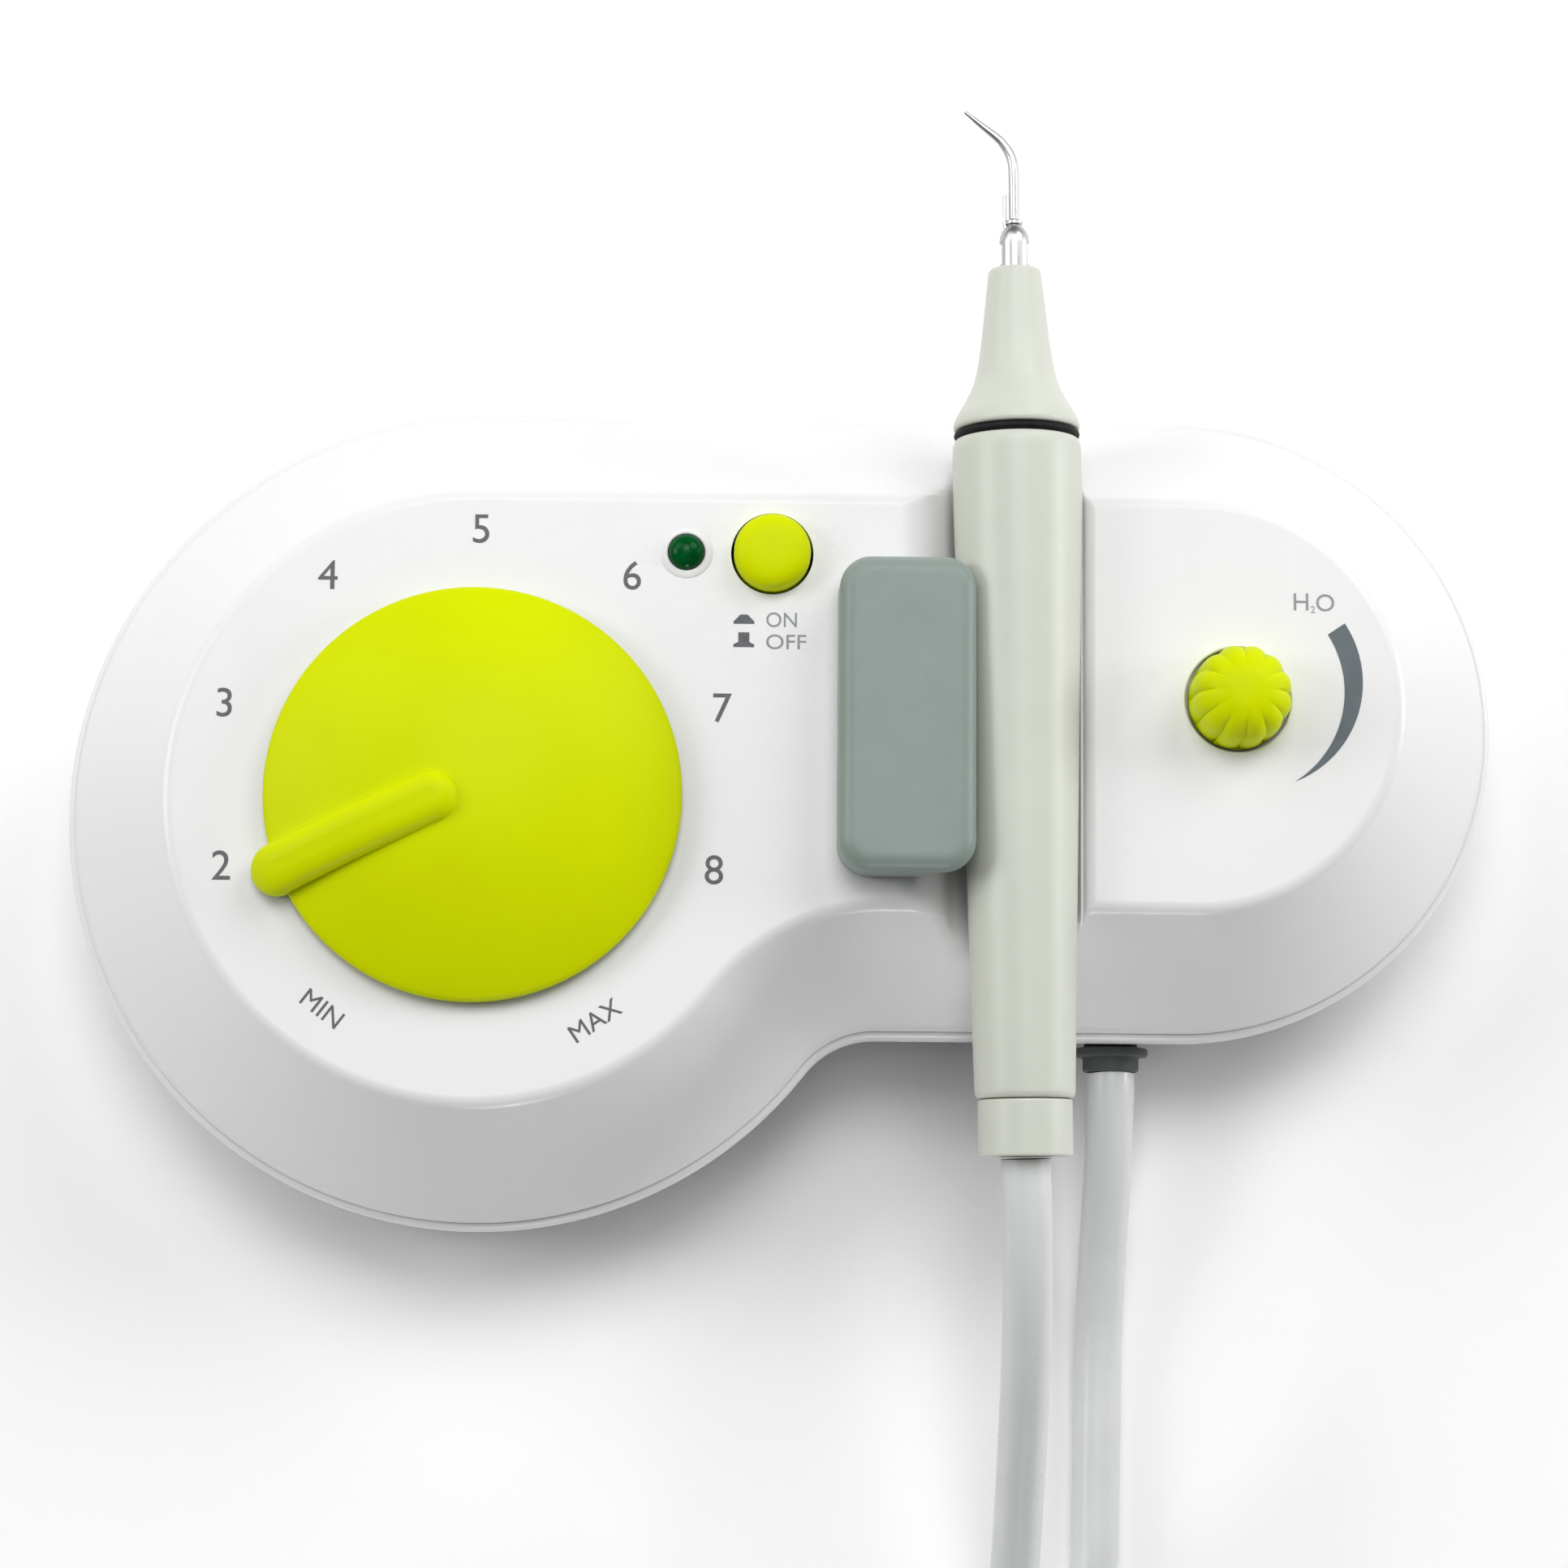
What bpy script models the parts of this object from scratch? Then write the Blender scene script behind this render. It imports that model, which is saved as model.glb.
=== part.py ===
"""Ultrasonic scaler: a desktop console with a power knob, a water knob and a cradled handpiece.

All lengths below are millimetres, and the mesh helpers turn them into metres. +Z is up, -Y is
the side that the user sits at, and the origin is under the middle of the console and handpiece.
"""

from math import atan2, ceil, cos, degrees, pi, radians, sin, sqrt, tan

import bmesh
import bpy
from mathutils import Euler, Vector

MM = 0.001
GAP = 0.3  # between pieces that touch

# Console outline at the rim: two round lobes, a straight back and a hollow front corner.
LEFT = Vector((-44.75, -20.0))
RIGHT = Vector((59.15, -5.6))
LEFT_R = 61.4
RIGHT_R = 47.0
CORNER_R = 13.0
BACK_Y = RIGHT.y + RIGHT_R
FRONT_Y = RIGHT.y - RIGHT_R

# Heights
FOOT_H = 3.7
BASE_Z = 4.0
SEAM_Z = 24.0
PANEL_Z = 48.0
WALL = 2.2
PANEL_THICK = 2.5
SLOPE_IN = 17.2  # how far the panel's edge lies inside the rim
SLOPE_FOOT_IN = 1.8
SLOPE_FOOT_Z = 26.0
EDGE_R = 2.5  # rounding between the panel and the slope

# Cradle groove, which runs front to back
GROOVE_LEFT_X = 17.15
GROOVE_LEFT_R = 7.0
GROOVE_RIGHT_X = 42.8
GROOVE_RIGHT_R = 1.9
GROOVE_FLOOR_Z = PANEL_Z - 8.9
GROOVE_AXIS_X = 33.25
GROOVE_ROUND_R = 9.55

# Controls
KNOB_R = 29.85
KNOB_RIM_Z = PANEL_Z + 1.5
KNOB_TOP_Z = PANEL_Z + 10.5
POINTER_ANGLE = 204.0  # degrees from +X at rest
POINTER_END_R = 33.5
POINTER_START_R = 1.8
POINTER_W = 7.4
POINTER_TOP_Z = PANEL_Z + 12.4  # of the sphere that the pointer bar follows
POINTER_SPHERE = 72.0
POINTER_OFFSET = 0.8  # from the knob's axis, to the side of the rear
SHAFT_R = 3.0
BUSHING_R = 4.5
BUTTON = Vector((-2.3, 15.6))
BUTTON_R = 5.55
BUTTON_TOP_Z = PANEL_Z + 4.0
LED = Vector((-14.7, 15.7))
LED_R = 2.45
WATER = Vector((65.0, -4.9))
WATER_R = 7.4
WATER_H = 10.4
WATER_LOBES = 12
WATER_LOW = -1.0  # the knob reaches into a round recess in the panel
WATER_RECESS_R = 7.95
WATER_RECESS_Z = PANEL_Z - 1.4
STEM_R = 2.0

# Handpiece holder
HOLDER_X = (7.25, 26.75)
HOLDER_Y = (-31.2, 13.9)
HOLDER_TOP_Z = PANEL_Z + 10.0
HOLDER_CORNER_R = 4.5
HOLDER_SCREWS = [Vector((12.5, -20.0)), Vector((12.5, 3.0))]

# Handpiece, drawn along its own axis: 0 at the seal ring, + towards the nose
HANDPIECE_AT = Vector((32.94, 33.2, PANEL_Z + 1.0))
HANDPIECE_YAW = 0.84  # degrees, nose towards -X
HANDPIECE_PITCH = 1.2  # degrees, nose up
NOSE_END = 24.6
SLEEVE_END = -95.8
CONNECTOR_END = -104.0
FLANGE_R = 9.3
CONNECTOR_R = 6.75
TIP_BASE_R = 2.2
PIEZO_DISCS = 2

# Hose
HOSE_R = 3.6
GLAND_X = 50.0
GLAND_Z = 13.0
COIL = Vector((41.5, -204.5))
COIL_MEAN_R = 41.2
COIL_SECTION_R = 11.2
COIL_H = 15.0

REAR_Z = 12.5
BOSSES = [
    LEFT + Vector((cos(radians(200)), sin(radians(200)))) * 50.0,
    LEFT + Vector((cos(radians(110)), sin(radians(110)))) * 50.0,
    RIGHT + Vector((cos(radians(60)), sin(radians(60)))) * 36.0,
    RIGHT + Vector((cos(radians(-60)), sin(radians(-60)))) * 36.0,
]
FEET = [
    LEFT + Vector((cos(radians(150)), sin(radians(150)))) * 44.0,
    LEFT + Vector((cos(radians(255)), sin(radians(255)))) * 44.0,
    RIGHT + Vector((cos(radians(35)), sin(radians(35)))) * 34.0,
    RIGHT + Vector((cos(radians(-35)), sin(radians(-35)))) * 34.0,
]
BOARD_Z = 12.0
BOARD_T = 1.6
BOARD_POSTS = [Vector((-80, -35)), Vector((-80, 10)), Vector((-1, -36)), Vector((-19, 19))]
BOARD_TOP = BOARD_Z + BOARD_T + GAP
SOLENOID_X = 22.0
REAR_FITTINGS = [
    ("power_socket", -32.0, 4.2, "dark_plastic"),
    ("foot_switch_socket", -8.0, 3.8, "dark_plastic"),
    ("water_inlet", SOLENOID_X, 3.8, "blue_plastic"),
]

PAINTS = {
    "white_plastic": ((0.80, 0.80, 0.80), 0.38, 0.0),
    "lime_plastic": ((0.62, 0.72, 0.005), 0.35, 0.0),
    "grey_silicone": ((0.27, 0.33, 0.30), 0.55, 0.0),
    "handpiece_plastic": ((0.60, 0.63, 0.54), 0.45, 0.0),
    "black_rubber": ((0.012, 0.012, 0.012), 0.6, 0.0),
    "steel": ((0.62, 0.62, 0.62), 0.22, 1.0),
    "titanium": ((0.38, 0.37, 0.35), 0.3, 1.0),
    "brass": ((0.72, 0.50, 0.20), 0.3, 1.0),
    "ceramic": ((0.20, 0.13, 0.08), 0.5, 0.0),
    "green_led": ((0.006, 0.09, 0.03), 0.12, 0.0),
    "board_green": ((0.01, 0.13, 0.05), 0.45, 0.0),
    "dark_plastic": ((0.03, 0.03, 0.032), 0.5, 0.0),
    "copper": ((0.72, 0.30, 0.15), 0.35, 1.0),
    "aluminium": ((0.70, 0.70, 0.71), 0.35, 1.0),
    "hose_silicone": ((0.58, 0.58, 0.57), 0.4, 0.0),
    "blue_plastic": ((0.03, 0.16, 0.45), 0.4, 0.0),
}


def clear_scene():
    for old in list(bpy.data.objects):
        bpy.data.objects.remove(old)


def paint(name):
    if name in bpy.data.materials:
        return bpy.data.materials[name]
    colour, roughness, metallic = PAINTS[name]
    material = bpy.data.materials.new(name)
    material.use_nodes = True
    shader = material.node_tree.nodes["Principled BSDF"]
    shader.inputs["Base Color"].default_value = (*colour, 1)
    shader.inputs["Roughness"].default_value = roughness
    shader.inputs["Metallic"].default_value = metallic
    return material


# ---- helpers: every point they take is in millimetres ----


def solid(name, points, faces, colour, at=(0, 0, 0), parent=None):
    """A named mesh object whose origin is at `at`."""
    mesh = bpy.data.meshes.new(name)
    mesh.from_pydata([Vector(p) * MM for p in points], [], faces)
    shape = bmesh.new()
    shape.from_mesh(mesh)
    bmesh.ops.recalc_face_normals(shape, faces=shape.faces)
    shape.to_mesh(mesh)
    shape.free()
    mesh.shade_smooth()
    mesh.set_sharp_from_angle(angle=radians(35))
    item = bpy.data.objects.new(name, mesh)
    bpy.context.scene.collection.objects.link(item)
    item.location = Vector(at) * MM
    item.parent = parent
    if colour:
        mesh.materials.append(paint(colour))
    return item


def loft(name, rings, colour, **place):
    """A closed solid through rings of equal length, capped at both ends."""
    count = len(rings[0])
    points = [p for ring in rings for p in ring]
    faces = [tuple(range(count)), tuple(range(len(points) - count, len(points)))]
    for level in range(len(rings) - 1):
        low = level * count
        for i in range(count):
            j = (i + 1) % count
            faces.append((low + i, low + j, low + count + j, low + count + i))
    return solid(name, points, faces, colour, **place)


def slab(name, outline, z_low, z_high, colour, **place):
    return loft(name, [[(*p, z) for p in outline] for z in (z_low, z_high)], colour, **place)


def turned(name, profile, colour, along="Z", segments=24, shape=None, **place):
    """Turns a profile of (radius, height) points about Z or Y.

    A profile that starts and ends on the axis is an open line; any other one is a closed loop.
    """
    points, starts = [], []
    for radius, height in profile:
        starts.append((len(points), radius == 0))
        for i in range(1 if radius == 0 else segments):
            angle = 2 * pi * i / segments
            r = shape(radius, height, angle) if shape and radius else radius
            x, y = r * cos(angle), r * sin(angle)
            points.append((x, y, height) if along == "Z" else (x, height, -y))
    loop = profile[0][0] != 0
    faces = []
    for k in range(len(profile) if loop else len(profile) - 1):
        (a, a_tip), (b, b_tip) = starts[k], starts[(k + 1) % len(profile)]
        for i in range(segments):
            j = (i + 1) % segments
            low = [a] if a_tip else [a + i, a + j]
            high = [b] if b_tip else [b + j, b + i]
            faces.append(tuple(low + high))
    return solid(name, points, faces, colour, **place)


def block(name, size, centre, colour, bevel=0.0, **place):
    """A box of the given size about centre, with its edges rounded by a Bevel modifier."""
    corners = [(x, y) for x, y in ((-1, -1), (1, -1), (1, 1), (-1, 1))]
    outline = [(centre[0] + x * size[0] / 2, centre[1] + y * size[1] / 2) for x, y in corners]
    low, high = centre[2] - size[2] / 2, centre[2] + size[2] / 2
    item = slab(name, outline, low, high, colour, **place)
    if bevel:
        edge = item.modifiers.new("rounded_edges", "BEVEL")
        edge.width = bevel * MM
        edge.segments = 2
    return item


def tool(item):
    """Marks an object as a cutter or an added shape, which is no piece of its own."""
    item.hide_render = True
    item.display_type = "WIRE"
    return item


def combine(item, other, operation):
    modifier = item.modifiers.new(f"{operation.lower()}_{other.name}", "BOOLEAN")
    modifier.operation = operation
    modifier.object = tool(other)
    return item


def cut(item, other):
    return combine(item, other, "DIFFERENCE")


def join(item, other):
    return combine(item, other, "UNION")


def drill(item, name, centre, radius, low, high, along="Z", segments=24):
    """Cuts a round hole from low to high, heights or depths along its direction."""
    profile = [(0, high), (radius, high), (radius, low), (0, low)]
    at = (*centre, 0) if along == "Z" else (centre[0], 0, centre[1])
    return cut(item, turned(name, profile, None, along=along, segments=segments, at=at))


def arc(centre, radius, start, end, steps):
    """Points on an arc, from angle start to angle end in degrees."""
    angles = [radians(start + (end - start) * i / steps) for i in range(steps + 1)]
    return [(centre[0] + radius * cos(a), centre[1] + radius * sin(a)) for a in angles]


def spaced(start, end, count):
    """Points between start and end, without the two ends."""
    a, b = Vector(start), Vector(end)
    return [tuple(a.lerp(b, i / (count + 1))) for i in range(1, count + 1)]


def smooth_route(points, step):
    """Points about `step` apart on a Catmull-Rom curve through the route's own points."""
    route = [Vector(p) for p in points]
    route = [route[0] * 2 - route[1], *route, route[-1] * 2 - route[-2]]
    line = []
    for a, b, c, d in zip(route, route[1:], route[2:], route[3:]):
        pieces = max(1, ceil((c - b).length / step))
        for i in range(pieces):
            t = i / pieces
            line.append(
                0.5 * (2 * b + (c - a) * t + (2 * a - 5 * b + 4 * c - d) * t**2
                       + (3 * b - a - 3 * c + d) * t**3)
            )
    return [*line, route[-2]]


def tube(name, points, radius, colour, sides=2, radii=None, parent=None):
    """A filled tube along points; radii scales the radius at each one."""
    curve = bpy.data.curves.new(name, "CURVE")
    curve.dimensions = "3D"
    curve.bevel_depth = radius * MM
    curve.bevel_resolution = sides
    curve.use_fill_caps = True
    spline = curve.splines.new("POLY")
    spline.points.add(len(points) - 1)
    for i, (place, point) in enumerate(zip(spline.points, points)):
        place.co = (*(Vector(point) * MM), 1)
        place.radius = radii[i] if radii else 1.0
    curve.materials.append(paint(colour))
    item = bpy.data.objects.new(name, curve)
    bpy.context.scene.collection.objects.link(item)
    item.parent = parent
    return item


# ---- the console ----


def outline(inset):
    """The console's outline, moved inwards by inset, from the back of the left lobe round it."""
    left_r, right_r, corner_r = LEFT_R - inset, RIGHT_R - inset, CORNER_R + inset
    corner_y = FRONT_Y - CORNER_R
    corner_x = LEFT.x + sqrt((LEFT_R + CORNER_R) ** 2 - (corner_y - LEFT.y) ** 2)
    meet = degrees(atan2(corner_y - LEFT.y, corner_x - LEFT.x))
    back, front = BACK_Y - inset, FRONT_Y + inset
    return [
        *arc(LEFT, left_r, 90, 360 + meet, 34),
        *arc((corner_x, corner_y), corner_r, 180 + meet, 90, 6)[1:],
        *spaced((corner_x, front), (RIGHT.x, front), 2),
        *arc(RIGHT, right_r, -90, 90, 24),
        *spaced((RIGHT.x, back), (LEFT.x, back), 3),
    ]


def ring_at(inset, z):
    return [(*p, z) for p in outline(inset)]


def slope_angle():
    return atan2(PANEL_Z - SLOPE_FOOT_Z, SLOPE_IN - SLOPE_FOOT_IN)


def panel_edge(steps):
    """(inset, z) points of the rounding between the panel and the slope."""
    angle = slope_angle()
    flat_in = SLOPE_IN + EDGE_R * tan(angle / 2)
    turns = [angle * i / steps for i in range(steps + 1)]
    return [(flat_in - EDGE_R * sin(a), PANEL_Z - EDGE_R * (1 - cos(a))) for a in turns]


def groove_profile(grow):
    """The groove's section in X and Z, grown into the console's material by grow."""
    left_r = GROOVE_LEFT_R - grow
    left_centre = (GROOVE_LEFT_X, PANEL_Z - GROOVE_LEFT_R)
    right_r = max(GROOVE_RIGHT_R - grow, 0.2)
    right_x = GROOVE_RIGHT_X + grow + right_r
    floor = GROOVE_FLOOR_Z - grow
    above = PANEL_Z + 4
    round_r = GROOVE_ROUND_R + grow
    round_centre = (GROOVE_AXIS_X, GROOVE_FLOOR_Z + GROOVE_ROUND_R)
    left_floor_x = GROOVE_LEFT_X + left_r
    return [
        (GROOVE_LEFT_X, above),
        *arc(left_centre, left_r, 90, 0, 5),
        (left_floor_x, floor + 1.2),
        (left_floor_x + 1.2, floor),
        *arc(round_centre, round_r, -90, -16, 6),
        *arc((right_x, PANEL_Z - right_r), right_r, 180, 90, 3),
        (right_x, above),
    ]


def groove_tool(name, grow):
    section = groove_profile(grow)
    ends = (FRONT_Y - 12, BACK_Y + 12)
    return loft(name, [[(x, y, z) for x, z in section] for y in ends], None)


def upper_shell():
    rings = [ring_at(inset, z) for inset, z in panel_edge(3)]
    rings.append(ring_at(SLOPE_FOOT_IN, SLOPE_FOOT_Z))
    rings.append(ring_at(1.1, SEAM_Z + GAP))
    shell = loft("upper_shell", rings, "white_plastic")
    slanted = WALL / sin(slope_angle())
    hollow = loft(
        "shell_hollow",
        [
            ring_at(SLOPE_IN + slanted - 1.0, PANEL_Z - PANEL_THICK),
            ring_at(SLOPE_FOOT_IN + slanted, SLOPE_FOOT_Z),
            ring_at(1.1 + slanted, SEAM_Z - 1),
        ],
        None,
    )
    cut(hollow, groove_tool("groove_walls", WALL))
    for i, place in enumerate(BOSSES):
        post = [(0, 33.4), (3.6, 33.4), (3.6, SEAM_Z + GAP + 0.4), (0, SEAM_Z + GAP + 0.4)]
        cut(hollow, turned(f"upper_boss_{i + 1}", post, None, segments=12, at=(*place, 0)))
    cut(shell, hollow)
    cut(shell, groove_tool("groove", 0))
    for i, place in enumerate(BOSSES):
        drill(shell, f"boss_hole_{i + 1}", place, 1.55, SEAM_Z - 1, 31.8, segments=12)
    through = (PANEL_Z - 6, PANEL_Z + 3)
    drill(shell, "knob_hole", LEFT, BUSHING_R + 0.35, *through)
    drill(shell, "button_hole", BUTTON, BUTTON_R + 0.4, *through, segments=28)
    drill(shell, "led_hole", LED, 3.5, *through, segments=20)
    recess = [
        (0, through[1]), (WATER_RECESS_R, through[1]), (WATER_RECESS_R, WATER_RECESS_Z),
        (3.85, WATER_RECESS_Z), (3.85, through[0]), (0, through[0]),
    ]
    cut(shell, turned("water_recess", recess, None, segments=32, at=(*WATER, 0)))
    for i, place in enumerate(HOLDER_SCREWS):
        drill(shell, f"holder_hole_{i + 1}", place, 1.6, *through, segments=12)
    return shell


def base_shell():
    sides = [(1.0, SEAM_Z), (0.1, SEAM_Z - 1.1), (0, 19), (1.2, 8)]
    rings = [ring_at(inset, z) for inset, z in [*sides, (4.5, BASE_Z)]]
    base = loft("base_shell", rings, "white_plastic")
    floor = BASE_Z + WALL
    hollow = loft(
        "base_hollow",
        [ring_at(3.1, SEAM_Z + 1), ring_at(3.4, 8.2), ring_at(5.6, floor)],
        None,
    )
    for i, place in enumerate(BOSSES):
        post = [(0, SEAM_Z - 0.2), (5.0, SEAM_Z - 0.2), (5.0, floor - 1), (0, floor - 1)]
        cut(hollow, turned(f"base_boss_{i + 1}", post, None, segments=12, at=(*place, 0)))
    for i, place in enumerate(BOARD_POSTS):
        top = BOARD_Z - GAP
        post = [(0, top), (3.2, top), (3.2, floor - 1), (0, floor - 1)]
        cut(hollow, turned(f"board_post_{i + 1}", post, None, segments=12, at=(*place, 0)))
    cut(base, hollow)
    way = [(0, SEAM_Z + 1), (1.6, SEAM_Z + 1), (1.6, 7.4), (3.3, 7.4), (3.3, BASE_Z - 1)]
    way += [(0, BASE_Z - 1)]
    for i, place in enumerate(BOSSES):
        cut(base, turned(f"screw_way_{i + 1}", way, None, segments=12, at=(*place, 0)))
    for i, place in enumerate(BOARD_POSTS):
        drill(base, f"post_hole_{i + 1}", place, 1.55, floor + 0.6, BOARD_Z + 1, segments=12)
    for i, place in enumerate(FEET):
        drill(base, f"foot_hole_{i + 1}", place, 2.4, BASE_Z - 1, floor + 1, segments=12)
    rear = (BACK_Y - 8, BACK_Y + 3)
    for name, x, radius, _ in REAR_FITTINGS:
        drill(base, f"{name}_hole", (x, REAR_Z), radius + 0.36, *rear, along="Y", segments=20)
    front = (FRONT_Y - 3, FRONT_Y + 8)
    drill(base, "gland_hole", (GLAND_X, GLAND_Z), 4.36, *front, along="Y", segments=20)
    return base


def feet_and_screws():
    foot = [(0, 7.4), (2.0, 6.9), (2.0, FOOT_H), (5.6, FOOT_H), (6.2, 0.6), (5.6, 0), (0, 0)]
    screw = [(0, 31.0), (1.2, 30.4), (1.2, 7.1), (2.9, 7.1), (2.9, 5.4), (2.4, 4.9), (0, 4.9)]
    for i, place in enumerate(FEET):
        turned(f"rubber_foot_{i + 1}", foot, "black_rubber", segments=12, at=(*place, 0))
    for i, place in enumerate(BOSSES):
        turned(f"case_screw_{i + 1}", screw, "steel", segments=12, at=(*place, 0))


def rounded_box(x, y, radius, inset, steps=4):
    """A rectangle's outline with round corners, inset all round."""
    r = radius - inset
    corners = [
        ((x[1] - radius, y[1] - radius), 0),
        ((x[0] + radius, y[1] - radius), 90),
        ((x[0] + radius, y[0] + radius), 180),
        ((x[1] - radius, y[0] + radius), 270),
    ]
    return [p for centre, start in corners for p in arc(centre, r, start, start + 90, steps)]


def holder():
    """The soft block that hooks over the left side of the handpiece."""
    levels = [(0.0, PANEL_Z + GAP), (0.0, HOLDER_TOP_Z - 2.2), (0.7, HOLDER_TOP_Z - 0.7)]
    levels += [(2.2, HOLDER_TOP_Z)]
    rings = [
        [(*p, z) for p in rounded_box(HOLDER_X, HOLDER_Y, HOLDER_CORNER_R, inset)]
        for inset, z in levels
    ]
    body = loft("handpiece_holder", rings, "grey_silicone")
    under_x, lip_z = HOLDER_X[0] + 12.4, HOLDER_TOP_Z - 2.9
    section = [
        (under_x, PANEL_Z - 1), (under_x, lip_z - 2.6), (under_x + 2.2, lip_z - 0.5),
        (HOLDER_X[1] - 1.2, lip_z), (HOLDER_X[1] + 1, lip_z + 0.8), (HOLDER_X[1] + 1, PANEL_Z - 1),
    ]
    ends = (HOLDER_Y[0] - 2, HOLDER_Y[1] + 2)
    cut(body, loft("holder_throat", [[(x, y, z) for x, z in section] for y in ends], None))
    for i, place in enumerate(HOLDER_SCREWS):
        drill(body, f"holder_pilot_{i + 1}", place, 1.5, PANEL_Z - 1, 54.4, segments=12)
        pilot = [(0, 54.0), (1.2, 54.0), (1.2, 45.2), (2.6, 45.2), (2.6, 43.4), (0, 43.4)]
        turned(f"holder_screw_{i + 1}", pilot, "steel", segments=12, at=(*place, 0))


# ---- controls ----


def pointer_bar(centre):
    """A bar with round ends whose top follows a sphere, a little flatter than the knob's dome."""
    half, low = POINTER_W / 2, KNOB_RIM_Z - PANEL_Z
    outer_x, inner_x = POINTER_END_R - half, POINTER_START_R + half

    def top(x):
        drop = POINTER_SPHERE - sqrt(POINTER_SPHERE**2 - x**2)
        return POINTER_TOP_Z - PANEL_Z - drop

    points = []
    for inset, down in ((0, None), (0, 1.9), (0.5, 0.6), (1.6, 0.0)):
        side = arc((outer_x, 0), half - inset, 0, 90, 4)
        side += spaced((outer_x, half - inset), (inner_x, half - inset), 4)
        side += arc((inner_x, 0), half - inset, 90, 180, 4)
        ring = side + [(x, -y) for x, y in reversed(side[1:-1])]
        points += [(x, y - POINTER_OFFSET, low if down is None else top(x) - down) for x, y in ring]
    count, last = len(ring), len(side) - 1
    faces = [tuple(range(count))]
    for start in range(0, 3 * count, count):
        for i in range(count):
            j = (i + 1) % count
            faces.append((start + i, start + j, start + count + j, start + count + i))
    cap = 3 * count
    faces += [(cap, cap + 1, cap + count - 1), (cap + last, cap + last + 1, cap + last - 1)]
    for i in range(1, last - 1):
        faces.append((cap + i, cap + i + 1, cap + count - i - 1, cap + count - i))
    bar = solid("knob_pointer", points, faces, "lime_plastic", at=centre)
    bar.rotation_euler.z = radians(POINTER_ANGLE)
    return bar


def power_knob():
    hub_r, hub_low, bore_top = 6.5, 3.2, 8.3
    height, rim = KNOB_TOP_Z - PANEL_Z, KNOB_RIM_Z - PANEL_Z
    sphere = (KNOB_R**2 + (height - rim - 1.0) ** 2) / (2 * (height - rim - 1.0))

    def dome(radius, drop=0.0):
        return height - drop - (sphere - sqrt(sphere**2 - radius**2))

    top = [(r, dome(r)) for r in (0, 8, 15, 21, 26, KNOB_R)]
    under = [(r, dome(r, 2.0)) for r in (KNOB_R - 2.4, 18.0, hub_r)]
    profile = [*top, (KNOB_R, rim + 0.4), (KNOB_R - 0.4, rim), (KNOB_R - 2.2, rim), *under]
    profile += [(hub_r, hub_low), (SHAFT_R + GAP, hub_low), (SHAFT_R + GAP, bore_top), (0, bore_top)]
    centre = (*LEFT, PANEL_Z)
    knob = turned("power_knob", profile, "lime_plastic", segments=44, at=centre)

    bar = pointer_bar(centre)
    inner = (SHAFT_R + GAP + hub_r) / 2
    well = [(0, bore_top + 1), (inner, bore_top + 1), (inner, 3.8), (26, 3.8), (26, -1), (0, -1)]
    cut(bar, turned("pointer_relief", well, None, at=centre))
    join(knob, bar)


def potentiometer():
    at = (*LEFT, 0)
    body = [
        (10.0, 43.4), (BUSHING_R, 43.4), (BUSHING_R, 50.9), (SHAFT_R + GAP, 50.9),
        (SHAFT_R + GAP, 33.0), (SHAFT_R + GAP - 1.5, 33.0), (SHAFT_R + GAP - 1.5, 31.0), (10.0, 31.0),
    ]
    turned("potentiometer", body, "dark_plastic", segments=28, at=at)
    shaft = [(0, 55.9), (2.6, 55.9), (SHAFT_R, 55.4), (SHAFT_R, 33.4), (0, 33.4)]
    turned("potentiometer_shaft", shaft, "brass", segments=20, at=at)
    turned("potentiometer_nut", nut_profile(7.0, 4.8, 48.3, 50.4), "steel", segments=6, at=at)


def nut_profile(corner_r, bore_r, low, high):
    """A nut's section; with six segments its corners reach corner_r."""
    return [(corner_r, high), (bore_r / cos(pi / 6), high), (bore_r / cos(pi / 6), low), (corner_r, low)]


def power_button():
    at = (*BUTTON, 0)
    top, low = BUTTON_TOP_Z, 44.5
    cap = [(0, top - 0.25), (4.6, top), (5.3, top - 0.25), (BUTTON_R, top - 0.8)]
    cap += [(BUTTON_R, low), (1.9, low), (1.9, 49.2), (0, 49.2)]
    turned("power_button", cap, "lime_plastic", segments=28, at=at)
    plunger = [(0, 48.9), (1.5, 48.9), (1.5, 33.4), (0, 33.4)]
    turned("button_plunger", plunger, "dark_plastic", segments=16, at=at)
    switch = block("latching_switch", (9, 9, 38 - BOARD_TOP), (*BUTTON, (38 + BOARD_TOP) / 2), "dark_plastic", 0.6)
    drill(switch, "plunger_bore", BUTTON, 1.8, 29.4, 40, segments=16)


def status_led():
    at = (*LED, 0)
    lens = [(0, PANEL_Z + 1.8), (1.4, PANEL_Z + 1.4), (LED_R, PANEL_Z - 0.4), (LED_R, 42.2), (0, 42.2)]
    turned("status_led", lens, "green_led", segments=20, at=at)
    high, low = PANEL_Z + 0.8, PANEL_Z + GAP
    bezel = [(2.85, high), (3.5, high), (3.9, low), (3.15, low), (3.15, 43.2), (2.75, 43.2)]
    turned("led_bezel", bezel, "white_plastic", segments=20, at=at)


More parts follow.
